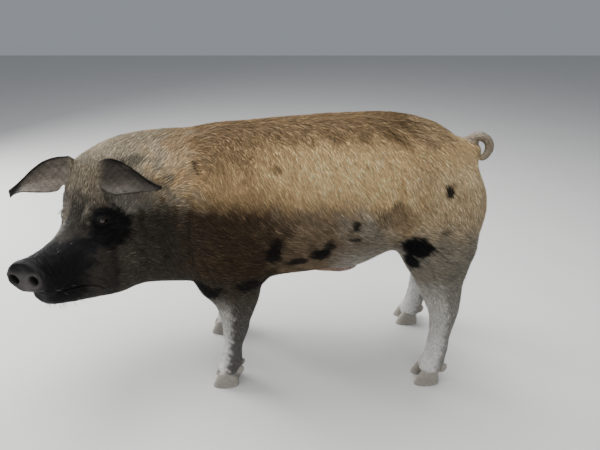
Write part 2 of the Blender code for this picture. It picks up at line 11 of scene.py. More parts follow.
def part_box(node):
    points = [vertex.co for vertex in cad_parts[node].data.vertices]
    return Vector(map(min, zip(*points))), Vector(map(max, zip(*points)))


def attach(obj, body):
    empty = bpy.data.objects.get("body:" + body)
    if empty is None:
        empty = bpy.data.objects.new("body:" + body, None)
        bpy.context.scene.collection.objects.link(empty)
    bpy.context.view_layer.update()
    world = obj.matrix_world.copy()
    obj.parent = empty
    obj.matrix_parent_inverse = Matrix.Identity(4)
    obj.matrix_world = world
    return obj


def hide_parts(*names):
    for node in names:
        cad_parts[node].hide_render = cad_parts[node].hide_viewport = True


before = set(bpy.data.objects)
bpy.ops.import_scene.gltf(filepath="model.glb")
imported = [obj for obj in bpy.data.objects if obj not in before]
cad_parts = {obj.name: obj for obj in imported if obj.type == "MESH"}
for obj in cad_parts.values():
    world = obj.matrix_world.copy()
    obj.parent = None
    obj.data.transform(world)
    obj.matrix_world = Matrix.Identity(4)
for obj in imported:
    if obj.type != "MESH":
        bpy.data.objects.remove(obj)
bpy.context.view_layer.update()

rng = np.random.default_rng(7)

# The forms below have the sizes of the solids. Units are metres, the head is towards -X, its left side towards -Y.
VOXEL = 0.0055
SOFT_STEPS = 70
RING_POINTS = 64
# Reach of the softened crease round the root of an ear or the tail.
LIMB_BLEND = 0.010

# Trunk rings: (x, top of the back, widest level, underside, half width, squareness above and below).
TRUNK = (
    (-0.400, 0.830, 0.600, 0.366, 0.140, 2.3, 2.3),
    (-0.330, 0.852, 0.600, 0.359, 0.170, 2.4, 2.4),
    (-0.250, 0.865, 0.600, 0.362, 0.184, 2.4, 2.3),
    (-0.120, 0.876, 0.600, 0.377, 0.190, 2.4, 2.2),
    (0.020, 0.888, 0.615, 0.398, 0.193, 2.4, 2.05),
    (0.150, 0.896, 0.635, 0.410, 0.190, 2.4, 2.0),
    (0.220, 0.898, 0.645, 0.438, 0.188, 2.4, 2.0),
    (0.290, 0.895, 0.655, 0.487, 0.185, 2.4, 2.0),
    (0.380, 0.874, 0.665, 0.530, 0.180, 2.3, 2.0),
    (0.455, 0.832, 0.665, 0.530, 0.158, 2.2, 2.1),
    (0.510, 0.775, 0.655, 0.545, 0.120, 2.1, 2.1),
    (0.545, 0.700, 0.640, 0.580, 0.055, 2.0, 2.0),
)
# Neck rings: (x, y, turn in degrees, top, widest level, underside, half width, squareness).
NECK = (
    (-0.300, 0.000, 0, 0.852, 0.600, 0.360, 0.168, 2.4),
    (-0.395, -0.002, 14, 0.850, 0.600, 0.358, 0.166, 2.4),
    (-0.465, -0.015, 32, 0.846, 0.600, 0.358, 0.158, 2.4),
    (-0.525, -0.045, 50, 0.834, 0.600, 0.362, 0.148, 2.4),
    (-0.562, -0.085, 66, 0.814, 0.600, 0.370, 0.138, 2.3),
    (-0.580, -0.125, 70, 0.790, 0.600, 0.382, 0.122, 2.3),
)
# Head pose, and rings of the skull and the muzzle down to the mouth:
# (forward of the poll, top, widest level, underside, half width, squareness above, squareness below).
POLL = (-0.578, -0.100, 0.812)
HEAD_YAW = 70.0
SKULL = (
    (-0.060, 0.004, -0.200, -0.420, 0.134, 2.2, 2.2),
    (-0.010, 0.000, -0.205, -0.410, 0.126, 2.2, 2.2),
    (0.025, -0.024, -0.230, -0.395, 0.106, 2.1, 2.3),
    (0.055, -0.078, -0.250, -0.375, 0.088, 2.0, 2.4),
    (0.085, -0.125, -0.262, -0.355, 0.077, 1.95, 2.5),
    (0.120, -0.161, -0.268, -0.338, 0.065, 1.9, 2.6),
    (0.160, -0.180, -0.266, -0.322, 0.055, 1.9, 2.6),
    (0.205, -0.188, -0.258, -0.308, 0.047, 1.9, 2.5),
    (0.240, -0.189, -0.248, -0.296, 0.0435, 1.95, 2.3),
    (0.262, -0.188, -0.238, -0.286, 0.0435, 2.05, 2.1),
)
JAW = (
    (-0.020, -0.240, -0.320, -0.440, 0.122, 2.4),
    (0.040, -0.250, -0.320, -0.433, 0.110, 2.4),
    (0.095, -0.262, -0.322, -0.410, 0.088, 2.4),
    (0.140, -0.280, -0.327, -0.390, 0.068, 2.3),
    (0.180, -0.290, -0.325, -0.371, 0.055, 2.3),
    (0.215, -0.290, -0.318, -0.354, 0.046, 2.2),
    (0.240, -0.288, -0.311, -0.339, 0.038, 2.2),
    (0.254, -0.288, -0.303, -0.323, 0.027, 2.0),
)
# Path of the mouth on one side, from the corner to the front: (forward, out, up).
MOUTH = (
    (0.138, 0.066, -0.322),
    (0.170, 0.058, -0.314),
    (0.200, 0.051, -0.305),
    (0.228, 0.044, -0.297),
    (0.246, 0.033, -0.291),
    (0.254, 0.015, -0.288),
)
# Limb stations from the top down: (x, y out from the middle, z, half length, half width).
FRONT_LEG = (
    (-0.235, 0.120, 0.600, 0.085, 0.050),
    (-0.232, 0.130, 0.500, 0.100, 0.058),
    (-0.218, 0.132, 0.420, 0.108, 0.056),
    (-0.203, 0.130, 0.367, 0.088, 0.050),
    (-0.203, 0.130, 0.296, 0.060, 0.043),
    (-0.211, 0.130, 0.221, 0.045, 0.040),
    (-0.219, 0.130, 0.168, 0.034, 0.033),
    (-0.230, 0.130, 0.110, 0.036, 0.033),
    (-0.237, 0.130, 0.070, 0.041, 0.038),
    (-0.247, 0.130, 0.046, 0.038, 0.038),
    (-0.252, 0.130, 0.034, 0.030, 0.030),
)
HIND_LEG = (
    (0.400, 0.110, 0.640, 0.120, 0.075),
    (0.414, 0.118, 0.520, 0.119, 0.078),
    (0.424, 0.120, 0.452, 0.093, 0.064),
    (0.438, 0.120, 0.390, 0.074, 0.052),
    (0.450, 0.120, 0.335, 0.062, 0.044),
    (0.461, 0.120, 0.285, 0.052, 0.038),
    (0.460, 0.120, 0.220, 0.042, 0.035),
    (0.459, 0.120, 0.160, 0.039, 0.033),
    (0.455, 0.120, 0.100, 0.040, 0.034),
    (0.450, 0.120, 0.070, 0.043, 0.038),
    (0.441, 0.120, 0.046, 0.039, 0.038),
    (0.436, 0.120, 0.034, 0.030, 0.030),
)
# Each leg: (name, stations, side, shift of the foot along x, shift of the foot outwards).
LEGS = (
    ("foreleg_left", FRONT_LEG, -1, 0.0, 0.0),
    ("foreleg_right", FRONT_LEG, 1, -0.055, 0.015),
    ("hindleg_left", HIND_LEG, -1, 0.0, 0.0),
    ("hindleg_right", HIND_LEG, 1, -0.002, 0.086),
)
# Height at which a foot's shift has faded out.
SHIFT_TOP = 0.50
# Soft forms that fill the body out, as (centre, half sizes): on the middle plane, in pairs, and in the head's frame.
MIDDLE_FORMS = (
    ((0.120, 0.0, 0.388), (0.085, 0.030, 0.030)),
    ((0.055, 0.0, 0.378), (0.026, 0.021, 0.021)),
    ((0.490, 0.0, 0.790), (0.050, 0.050, 0.040)),
)
PAIRED_FORMS = (
    ((-0.235, 0.112, 0.620), (0.105, 0.070, 0.170)),
    ((-0.150, 0.142, 0.440), (0.055, 0.038, 0.050)),
    ((0.440, 0.098, 0.640), (0.100, 0.086, 0.150)),
    ((0.350, 0.140, 0.540), (0.065, 0.040, 0.090)),
    ((0.505, 0.034, 0.620), (0.050, 0.038, 0.062)),
)
HEAD_FORMS = (
    ((-0.045, 0.066, -0.300), (0.125, 0.070, 0.130)),
    ((0.045, 0.052, -0.292), (0.120, 0.052, 0.100)),
    ((0.036, 0.046, -0.128), (0.044, 0.034, 0.044)),
    ((0.205, 0.030, -0.286), (0.055, 0.024, 0.013)),
)
# The left eye's middle in the head's frame and the way it looks. The right eye mirrors it.
EYE = (0.0607, 0.0573, -0.1664)
EYE_LOOK = (0.42, 0.90, 0.12)
EYE_RADIUS = 0.0140
# The snout's disc: (forward, share of its full size).
DISC = (
    (0.2500, 0.80),
    (0.2590, 0.92),
    (0.2680, 1.00),
    (0.2790, 1.03),
    (0.2870, 1.00),
    (0.2915, 0.91),
    (0.2925, 0.80),
    (0.2920, 0.50),
)
# The disc's face turns a little to its left: a step across takes its front rings back by this share,
# counted from this far right of the middle.
DISC_SLANT = 0.20
DISC_PIVOT = 0.041
DISC_HALF = (0.0465, 0.0460)
DISC_LEVEL = -0.234
# A nostril: (out, up) of its middle, its half sizes and how far it leans outwards, in degrees.
NOSTRIL = (0.0255, -0.236)
NOSTRIL_HALF = (0.0128, 0.0152)
NOSTRIL_LEAN = -18
# Ear rows from inside the head to the tip: (upper edge, lower edge, depth of the cup, thickness).
EAR = (
    ((0.012, 0.030, -0.022), (0.035, 0.050, -0.080), 0.006, 0.020),
    ((0.012, 0.056, -0.010), (0.045, 0.082, -0.085), 0.011, 0.015),
    ((0.012, 0.088, -0.005), (0.052, 0.110, -0.087), 0.020, 0.011),
    ((0.012, 0.122, -0.012), (0.048, 0.140, -0.085), 0.023, 0.009),
    ((0.012, 0.155, -0.030), (0.038, 0.168, -0.084), 0.018, 0.008),
    ((0.010, 0.186, -0.052), (0.027, 0.193, -0.083), 0.011, 0.007),
    ((0.008, 0.212, -0.067), (0.016, 0.216, -0.083), 0.005, 0.0065),
    ((0.006, 0.232, -0.073), (0.008, 0.234, -0.081), 0.002, 0.005),
)
EAR_ROWS = 48
EAR_SPAN = 21
# How each ear is held: (forward turn, droop, share of the length, curl, drop), and what a curl does.
EAR_TURN = {-1: (-8, 0, 0.91, 0.0, 0.0), 1: (22, 7.5, 1.19, 1.0, 0.010)}
EAR_CURL = (0.010, 0.022, 0.005)
# The tail from its root: (x, y, z, radius).
TAIL = (
    (0.474, 0.000, 0.785, 0.023),
    (0.492, 0.000, 0.810, 0.019),
    (0.509, -0.003, 0.826, 0.0160),
    (0.527, -0.009, 0.829, 0.0140),
    (0.543, -0.014, 0.817, 0.0130),
    (0.548, -0.018, 0.797, 0.0125),
    (0.540, -0.019, 0.777, 0.0110),
    (0.527, -0.016, 0.766, 0.0085),
)
# A claw from its top to its sole: (height, heel, toe, half width).
CLAW = (
    (0.056, -0.018, 0.026, 0.0165),
    (0.042, -0.028, 0.034, 0.0185),
    (0.028, -0.033, 0.041, 0.0195),
    (0.012, -0.036, 0.048, 0.0195),
    (0.003, -0.036, 0.051, 0.0185),
    (0.000, -0.033, 0.048, 0.0170),
)
CLAW_SPREAD = 0.0215
CLAW_TOE_OUT = 7.0
DEWCLAW_RADII = (0.011, 0.0095, 0.017)
# How far from the head's middle plane a point can lie and still belong to the head rather than to the body or an ear.
HEAD_HALF = 0.17
# Below this height nothing belongs to head or neck.
HEAD_FLOOR = 0.33

# The camera of the photo, in the frame of the sizes above. Pixels are of the 600 by 450 picture.
CAMERA = (0.0, -1.28, 1.20)
CAMERA_DIP = 27.3
FOCAL_PIXELS = 451.0
PICTURE = (600, 450)

# Dark marks as seen in the picture, two of them painted shade: (name, column, row, half width, half height, strength,
# slant in degrees).
MARKS = (
    ("hip spot", 451, 192, 0.015, 0.020, 0.95, 20),
    ("thigh fleck", 447, 233, 0.013, 0.010, 0.55, 0),
    ("flank spot", 357, 228, 0.012, 0.017, 0.92, 0),
    ("flank bar", 356, 241, 0.020, 0.007, 0.85, -5),
    ("thigh patch", 417, 249, 0.052, 0.037, 1.0, 0),
    ("thigh patch tail", 411, 263, 0.026, 0.030, 1.0, 25),
    # Painted shadow of the near ear on the neck.
    ("behind the near ear", 127, 161, 0.050, 0.018, 0.50, 15),
    ("below the nape", 160, 183, 0.050, 0.022, 0.42, 15),
    ("shoulder slash", 195, 168, 0.005, 0.022, 0.85, 22),
    ("grey blotch", 277, 170, 0.014, 0.014, 0.40, 0),
    ("loin fleck", 334, 140, 0.008, 0.008, 0.45, 0),
    ("back fleck", 295, 134, 0.012, 0.007, 0.30, 0),
    ("belly spot front", 274, 256, 0.022, 0.052, 0.92, -15),
    ("belly spot low", 297, 263, 0.036, 0.018, 0.92, 10),
    ("belly spot rear", 321, 256, 0.032, 0.023, 0.97, 20),
    ("belly spot tail", 330, 248, 0.018, 0.022, 0.90, 0),
    # Painted shade in the armpit, where the foreleg meets the body.
    ("armpit", 250, 287, 0.045, 0.020, 0.85, 0),
    ("brisket", 204, 292, 0.050, 0.030, 0.95, 0),
    ("eye patch bridge", 88, 246, 0.030, 0.022, 0.95, 0),
)
# Marks on the side that the picture doesn't show: (name, x, z, half length, half height, strength).
FAR_MARKS = (
    ("far flank spot", 0.20, 0.66, 0.016, 0.019, 0.9),
    ("far belly spot", 0.06, 0.47, 0.034, 0.018, 0.9),
    ("far thigh patch", 0.36, 0.54, 0.045, 0.034, 1.0),
    ("far shoulder spot", -0.20, 0.70, 0.012, 0.014, 0.7),
    ("far hip spot", 0.42, 0.76, 0.012, 0.014, 0.8),
    ("far elbow patch", -0.16, 0.45, 0.040, 0.026, 0.9),
)

# Linear colours of hair and skin.
GOLD = (0.48, 0.32, 0.158)
# Painted light: the brighter gold where the light falls strongest, on the middle of the flank.
GOLD_PAINTED_LIGHT = (0.73, 0.505, 0.258)
TOPLINE = (0.118, 0.074, 0.034)
LOIN_TOP = (0.070, 0.040, 0.014)
WITHERS = (0.25, 0.165, 0.085)
NECK_GREY = (0.285, 0.245, 0.175)
FOREHEAD = (0.138, 0.113, 0.077)
TEMPLE = (0.250, 0.225, 0.190)
# Painted shadow on the cheeks and the lower neck, below the edge of the light, and painted bounce light low on the
# cheeks.
CHEEK_SHADOW = (0.046, 0.038, 0.029)
CHEEK_BOUNCE_LIGHT = (0.072, 0.062, 0.048)
FACE_FRONT = (0.027, 0.023, 0.018)
# Painted shadow on the lower neck and the front of the flank. The lower coat's tones that follow carry painted shadow
# too.
SHADED = (0.052, 0.034, 0.019)
FLANK_LOW = (0.200, 0.143, 0.088)
FLANK_REAR = (0.265, 0.230, 0.173)
BELLY_REAR = (0.46, 0.43, 0.38)
BELLY = (0.060, 0.049, 0.036)
HAM_LOW = (0.230, 0.203, 0.155)
HAM_HIGH = (0.59, 0.435, 0.25)
SHANK = (0.61, 0.585, 0.535)
FOOT = (0.78, 0.755, 0.71)
BLACK = (0.0034, 0.0031, 0.0038)
RUMP_PALE = (0.52, 0.42, 0.27)
# Painted shade in the fold between flank and ham.
FLANK_FOLD_SHADE = (0.105, 0.078, 0.052)
FACE_STREAK = (0.17, 0.148, 0.112)
# Inner face of each ear, painted: shade in the near ear's hollow, light in the far ear's.
EAR_HOLLOW_SHADE_AND_LIGHT = {-1: (0.066, 0.054, 0.043), 1: (0.124, 0.105, 0.084)}
EAR_OUTER = (0.036, 0.028, 0.023)
# Dark rims and tips of the ears; also laid as painted shade in the near ear's fold.
EAR_RIM_AND_FOLD_SHADE = (0.012, 0.0095, 0.0085)
# Painted light on the near ear's lobe, where it curls out of the hollow's shade.
EAR_LOBE_LIT = (0.088, 0.080, 0.067)
DISC_SKIN = (0.060, 0.055, 0.053)
# Painted shade at the disc's rim and top.
DISC_SHADE = (0.008, 0.007, 0.007)
# Painted highlight down the disc's middle, between and below the nostrils.
DISC_HIGHLIGHT = (0.105, 0.095, 0.091)
# Painted highlight round the raised rims of the nostrils.
NOSTRIL_RIM_HIGHLIGHT = (0.09, 0.080, 0.077)
# Painted shade deep inside the nostrils.
NOSTRIL_SHADE = (0.004, 0.003, 0.003)
TAIL_SKIN = (0.195, 0.182, 0.155)
SHEATH_SKIN = (0.42, 0.27, 0.20)
SACK_SKIN = (0.26, 0.19, 0.16)
CLAW_LINE = (0.30, 0.25, 0.22)
HORN = (0.33, 0.30, 0.255)
HORN_WORN = (0.50, 0.475, 0.42)
BRISTLE_PALE = (0.36, 0.32, 0.26)
BRISTLE_DARK = (0.04, 0.034, 0.030)
LASH = (0.03, 0.025, 0.02)
IRIS = (0.034, 0.018, 0.009)
EYE_WHITE = (0.050, 0.033, 0.027)
FLOOR = (0.62, 0.61, 0.59, 1)
SKY = (0.80, 0.86, 0.95, 1)
# Painted shade on the rear of a leg: (colour, strength, where it starts and is full, counted back from the leg's
# middle).
LEG_REAR_SHADE = {
    "fore": ((0.022, 0.019, 0.015), 0.88, -0.022, 0.006),
    "hind": ((0.080, 0.072, 0.057), 0.66, -0.006, 0.020),
}
# The black patch round an eye in the head's frame: its middle and half sizes.
EYE_PATCH = (0.056, 0.082, -0.184)
EYE_PATCH_HALF = (0.062, 0.056, 0.064)
# Height of the edge of the painted shadow along neck and trunk: the lit coat above it, painted shadow below.
LIGHT_EDGE = 0.692


def smooth_rows(rows, count):
    """count rows on a Catmull-Rom curve through the given ones."""
    rows = np.array(rows, float)
    padded = np.vstack([2 * rows[0] - rows[1], rows, 2 * rows[-1] - rows[-2]])
    made = []
    for t in np.linspace(0, len(rows) - 1, count):
        i = min(int(t), len(rows) - 2)
        f = t - i
        a, b, c, d = padded[i : i + 4]
        bend = (2 * a - 5 * b + 4 * c - d) * f**2
        twist = (3 * b - a - 3 * c + d) * f**3
        made.append(0.5 * (2 * b + (c - a) * f + bend + twist))
    return np.array(made)


def scene_object(name, data):
    """A new object in the scene."""
    obj = bpy.data.objects.new(name, data)
    bpy.context.scene.collection.objects.link(obj)
    return obj


def object_from(bm, name):
    mesh = bpy.data.meshes.new(name)
    bm.to_mesh(mesh)
    bm.free()
    return scene_object(name, mesh)


def loft(name, rings):
    """A closed tube through rings of equally many points."""
    bm = bmesh.new()
    rows = [[bm.verts.new(p) for p in ring] for ring in rings]
    for a, b in zip(rows, rows[1:]):
        for i in range(len(a)):
            j = (i + 1) % len(a)
            bm.faces.new((a[i], a[j], b[j], b[i]))
    bm.faces.new(rows[0][::-1])
    bm.faces.new(rows[-1])
    bmesh.ops.recalc_face_normals(bm, faces=bm.faces)
    return object_from(bm, name)


def ellipsoid(name, centre, radii, turn=None, segments=40):
    bm = bmesh.new()
    rotation = (turn or Matrix.Identity(3)).to_4x4()
    matrix = Matrix.Translation(Vector(centre)) @ rotation @ Matrix.Diagonal((*radii, 1))
    bmesh.ops.create_uvsphere(bm, u_segments=segments, v_segments=segments // 2, radius=1, matrix=matrix)
    return object_from(bm, name)


def body_ring(origin, side, up, top, wide, bottom, half, square, square_below=None):
    """A ring across the body: half superellipses above and below, which meet at the widest level."""
    ring = []
    for a in np.linspace(0, 2 * math.pi, RING_POINTS, endpoint=False):
        c, s = math.cos(a), math.sin(a)
        power = 2 / (square if s > 0 else square_below or square)
        across = half * math.copysign(abs(c) ** power, c)
        height = (top - wide) if s > 0 else (wide - bottom)
        rise = wide + height * math.copysign(abs(s) ** power, s)
        ring.append(Vector(origin) + Vector(side) * across + Vector(up) * rise)
    return ring


def level_axes(yaw):
    """(forward, left) of a part that turns to its left by yaw degrees."""
    yaw = math.radians(yaw)
    return Vector((-math.cos(yaw), -math.sin(yaw), 0)), Vector((math.sin(yaw), -math.cos(yaw), 0))


UP = Vector((0, 0, 1))
FORWARD, LEFT = level_axes(HEAD_YAW)
HEAD_TURN = Matrix((FORWARD, LEFT, UP)).transposed()


def head_point(forward, left, up):
    return Vector(POLL) + HEAD_TURN @ Vector((forward, left, up))


def eye_frame(side):
    """Where an eye sits, and the turn that points its X axis out of the head."""
    look = HEAD_TURN @ Vector((EYE_LOOK[0], side * EYE_LOOK[1], EYE_LOOK[2])).normalized()
    level = UP.cross(look).normalized()
    return head_point(EYE[0], side * EYE[1], EYE[2]), Matrix((look, level, look.cross(level))).transposed()


# All pieces are made in the frame of the sizes above and then moved by the place that the solids have in the row.
low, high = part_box("eye_left")
PLACE = (low + high) / 2 - eye_frame(1)[0]


def mouth_side(side):
    return [head_point(forward, side * out, up) for forward, out, up in MOUTH]


def head_loft(name, rows, count):
    rings = [body_ring(head_point(row[0], 0, 0), LEFT, UP, *row[1:]) for row in smooth_rows(rows, count)]
    return loft(name, rings)


def disc_point(forward, left, up):
    """A point of the snout's disc, whose face turns to its left."""
    front = min(max((forward - 0.254) / 0.020, 0), 1)
    slanted = forward - DISC_SLANT * (left + DISC_PIVOT) * front
    return head_point(max(slanted, DISC[0][0]), left, up)


def disc_front(forward, left):
    """How far forward points are as the disc counts it, whose face turns to its left."""
    return forward + DISC_SLANT * (left + DISC_PIVOT)


def disc_loft():
    rings = []
    for forward, share in smooth_rows(DISC, 24):
        ring = []
        for t in np.linspace(0, 2 * math.pi, 64, endpoint=False):
            across = DISC_HALF[0] * share * math.cos(t)
            rise = DISC_HALF[1] * share * math.sin(t) * (1 + 0.05 * math.sin(t))
            ring.append(disc_point(forward, across, DISC_LEVEL + rise))
        rings.append(ring)
    return loft("disc", rings)


def leg_stations(leg):
    """The stations of one leg, with its foot shifted and the shift fading out towards the top."""
    name, stations, side, along, outwards = leg
    placed = []
    for x, y, z, length, width in stations:
        share = min(max((SHIFT_TOP - z) / SHIFT_TOP, 0), 1)
        placed.append((x + along * share, side * (y + outwards * share), z, length, width))
    return placed


def tube(name, rows, points=40):
    """A tube through (x, y, z, half size fore and aft, half size across), its rings square to its line."""
    rings = []
    for i, (x, y, z, length, width) in enumerate(rows):
        before, after = rows[max(i - 1, 0)][:3], rows[min(i + 1, len(rows) - 1)][:3]
        line = Vector(np.array(after) - np.array(before)).normalized()
        fore = line.cross(Vector((0, 1, 0))).normalized()
        across = fore.cross(line).normalized()
        ring = []
        for t in np.linspace(0, 2 * math.pi, points, endpoint=False):
            ring.append(Vector((x, y, z)) + fore * length * math.cos(t) + across * width * math.sin(t))
        rings.append(ring)
    return loft(name, rings)


def apply_modifiers(obj):
    graph = bpy.context.evaluated_depsgraph_get()
    mesh = bpy.data.meshes.new_from_object(obj.evaluated_get(graph))
    obj.modifiers.clear()
    obj.data = mesh
    return obj


def join(name, objects):
    bm = bmesh.new()
    for obj in objects:
        bm.from_mesh(obj.data)
        bpy.data.objects.remove(obj)
    return object_from(bm, name)


def ramp(value, start, end):
    """0 at start, 1 at end, smooth between."""
    t = np.clip((np.asarray(value, float) - start) / (end - start), 0, 1)
    return t * t * (3 - 2 * t)


def fall(value, start, end):
    """1 at start, 0 at end, smooth between."""
    return 1 - ramp(value, start, end)


def ripple(points, size, seed):
    """Smooth random values, about -1 to 1, that change over the given size."""
    draw = np.random.default_rng(seed)
    total = np.zeros(len(points))
    for _ in range(7):
        wave = draw.normal(size=3)
        wave *= 2 * math.pi / size / np.linalg.norm(wave) * draw.uniform(0.6, 1.5)
        total += np.sin(points @ wave + draw.uniform(0, 2 * math.pi))
    return total / 2.6


def mix(a, b, share):
    """Colours a and b mixed point by point."""
    share = np.asarray(share)[:, None]
    return np.asarray(a) * (1 - share) + np.asarray(b) * share


def layered(tone, layers):
    """Colours with each (colour, share) laid over them in turn."""
    for colour, share in layers:
        tone = mix(tone, colour, share)
    return tone


def stepped(value, steps):
    """A value moved towards each (target, share) in turn."""
    for target, share in steps:
        value = value + (target - value) * share
    return value


def unit(rows, least=0.0):
    """Rows scaled to length 1. The least length keeps rows of zeros finite."""
    return rows / (np.linalg.norm(rows, axis=1)[:, None] + least)


def in_head(points):
    """Points as (forward, left, up) of the poll."""
    return (points - np.array(POLL)) @ np.array(HEAD_TURN)


def beside_head(left):
    """Whether points lie within the breadth of the head, without its ears."""
    return np.abs(left) < HEAD_HALF


def read_vectors(values, name):
    """The named vector of each item of a mesh, such as its vertices, as rows."""
    read = np.empty(len(values) * 3, np.float32)
    values.foreach_get(name, read)
    return read.reshape(-1, 3).astype(float)


def positions(mesh):
    return read_vectors(mesh.vertices, "co")


def surface(mesh):
    """Positions and normals of the vertices."""
    return positions(mesh), read_vectors(mesh.vertex_normals, "vector")


def set_positions(mesh, points):
    mesh.vertices.foreach_set("co", np.asarray(points, np.float32).ravel())
    mesh.update()


def smoothed(mesh, points, weights, steps):
    """Points moved towards the mean of their neighbours, by weight, steps times."""
    edges = np.empty(len(mesh.edges) * 2, np.int32)
    mesh.edges.foreach_get("vertices", edges)
    a, b = edges.reshape(-1, 2).T
    count = np.bincount(np.concatenate([a, b]), minlength=len(points))[:, None]
    for _ in range(steps):
        total = np.zeros_like(points)
        for axis in range(3):
            values = points[:, axis]
            total[:, axis] = np.bincount(a, values[b], len(points)) + np.bincount(b, values[a], len(points))
        points = points + (total / count - points) * weights[:, None]
    return points


def near_to(place, points, reach):
    """Indices of the points that lie within reach of a place."""
    return np.flatnonzero(np.linalg.norm(points - np.array(place), axis=1) < reach)


def within(distance, reach, fade):
    """1 well inside the reach, 0 outside it."""
    return np.clip((reach - distance) / fade, 0, 1)


def flesh():
    """One smooth closed mesh around all the forms."""
    trunk = [body_ring((x, 0, 0), (0, -1, 0), UP, *sizes) for x, *sizes in smooth_rows(TRUNK, 60)]
    nape = [body_ring((x, y, 0), level_axes(yaw)[1], UP, *sizes) for x, y, yaw, *sizes in smooth_rows(NECK, 24)]
    forms = [loft("trunk", trunk), loft("nape", nape), head_loft("skull", SKULL, 40), head_loft("jaw", JAW, 30)]
    forms.append(disc_loft())
    for leg in LEGS:
        forms.append(tube(leg[0], smooth_rows(leg_stations(leg), 50)))
    for centre, radii in MIDDLE_FORMS:
        forms.append(ellipsoid("form", centre, radii))
    for side in (-1, 1):
        for (x, y, z), radii in PAIRED_FORMS:
            forms.append(ellipsoid("form", (x, side * y, z), radii))
        for (forward, out, up), radii in HEAD_FORMS:
            forms.append(ellipsoid("form", head_point(forward, -side * out, up), radii, HEAD_TURN))
    body = join("skin", forms)
    remesh = body.modifiers.new("remesh", "REMESH")
    remesh.mode = "VOXEL"
    remesh.voxel_size = VOXEL
    apply_modifiers(body)
    points = positions(body.data)
    local = in_head(points)
    on_muzzle = within(np.linalg.norm(local - np.array((0.25, 0, -0.25)), axis=1), 0.17, 0.09)
    on_foot = within(points[:, 2], 0.25, 0.12)
    soft = 1 - 0.65 * np.maximum(on_muzzle, on_foot)
    front = disc_front(local[:, 0], local[:, 1])
    soft *= 1 - 0.93 * ramp(front, 0.245, 0.262) * (np.abs(local[:, 1]) < 0.1)
    set_positions(body.data, smoothed(body.data, points, soft * 0.5, SOFT_STEPS))
    return body


def ear(side):
    """A leaf with a hollow front: closed rings across it, bowed backwards by the depth of its cup."""
    turn, droop, reach, curled, drop = EAR_TURN[side]
    root = Vector((0.02, 0.07, -0.04))
    swing = Matrix.Rotation(-math.radians(turn), 3, "Z") @ Matrix.Rotation(-math.radians(droop), 3, "X")
    back = Vector((-1, 0.15, 0.10)).normalized()
    flat = [[*upper, *lower, cup, thick] for upper, lower, cup, thick in EAR]
    rings = []
    for i, row in enumerate(smooth_rows(flat, EAR_ROWS)):
        upper, lower, cup, thick = Vector(row[:3]), Vector(row[3:6]), row[6], row[7]
        curl = curled * max(i / (EAR_ROWS - 1) - 0.62, 0) / 0.38
        upper.z -= EAR_CURL[0] * curl**2
        lower.z -= EAR_CURL[1] * curl**2
        thick += EAR_CURL[2] * curl
        spine = (lower - upper).normalized()
        middle, halves = [], []
        for k in range(EAR_SPAN):
            t = k / (EAR_SPAN - 1)
            middle.append(upper.lerp(lower, t) + back * cup * math.sin(math.pi * t) ** 0.8)
            halves.append(thick / 2 * (0.55 + 0.45 * math.sin(math.pi * t)))
        behind = [p + back * h for p, h in zip(middle[1:-1], halves[1:-1])]
        ahead = [p - back * h for p, h in zip(middle[1:-1], halves[1:-1])][::-1]
        ring = [middle[0] - spine * thick / 4, *behind, middle[-1] + spine * thick / 4, *ahead]
        inside = min(i / (EAR_ROWS / 5), 1)
        placed = []
        for point in ring:
            away = point - root
            away.y *= reach
            away.z -= drop
            point = point.lerp(root + swing @ away, inside)
            placed.append(head_point(point.x, -side * point.y, point.z))
        rings.append(placed)
    return loft("ear", rings)


def tree_of(obj):
    """A search tree over an object's faces."""
    obj.data.calc_loop_triangles()
    faces = [tuple(t.vertices) for t in obj.data.loop_triangles]
    return BVHTree.FromPolygons([v.co for v in obj.data.vertices], faces)


def distances(tree, points, reach):
    """Distance of each point from the tree's surface, at most the reach."""
    found = np.full(len(points), reach)
    for i, point in enumerate(points):
        hit = tree.find_nearest(Vector(point), reach)
        if hit[0] is not None:
            found[i] = hit[3]
    return found


def add_limb(body, limb, root):
    """Joins an ear or the tail to the body, softens the crease at its root and returns its search tree."""
    tree, before = tree_of(limb), tree_of(body)
    modifier = body.modifiers.new("union", "BOOLEAN")
    modifier.object = limb
    modifier.operation = "UNION"
    modifier.solver = "MANIFOLD"
    apply_modifiers(body)
    bpy.data.objects.remove(limb)
    points = positions(body.data)
    close = near_to(root, points, 0.16)
    seam = np.zeros(len(points))
    gap = np.maximum(distances(tree, points[close], 0.05), distances(before, points[close], 0.05))
    seam[close] = fall(gap, 0.0, LIMB_BLEND)
    set_positions(body.data, smoothed(body.data, points, seam * 0.6, 14))
    return tree


def refine(body, zones):
    """Divides the faces of each zone. A zone is a function of the points that says which are in it."""
    for zone in zones:
        bm = bmesh.new()
        bm.from_mesh(body.data)
        chosen = zone(np.array([v.co[:] for v in bm.verts]))
        edges = [e for e in bm.edges if chosen[e.verts[0].index] and chosen[e.verts[1].index]]
        bmesh.ops.subdivide_edges(bm, edges=edges, cuts=1, use_grid_fill=True)
        bmesh.ops.triangulate(bm, faces=[f for f in bm.faces if len(f.verts) > 4])
        bm.to_mesh(body.data)
        bm.free()


def pixel_ray(column, row):
    """The direction from the camera through a pixel of the picture."""
    dip = math.radians(CAMERA_DIP)
    ahead = Vector((0, math.cos(dip), -math.sin(dip)))
    above = Vector((0, math.sin(dip), math.cos(dip)))
    across = (column - PICTURE[0] / 2) / FOCAL_PIXELS
    down = (row - PICTURE[1] / 2) / FOCAL_PIXELS
    return (ahead + Vector((1, 0, 0)) * across - above * down).normalized()


def seen_point(tree, column, row):
    """The point of the surface that shows at a pixel, or None."""
    return tree.ray_cast(Vector(CAMERA), pixel_ray(column, row))[0]


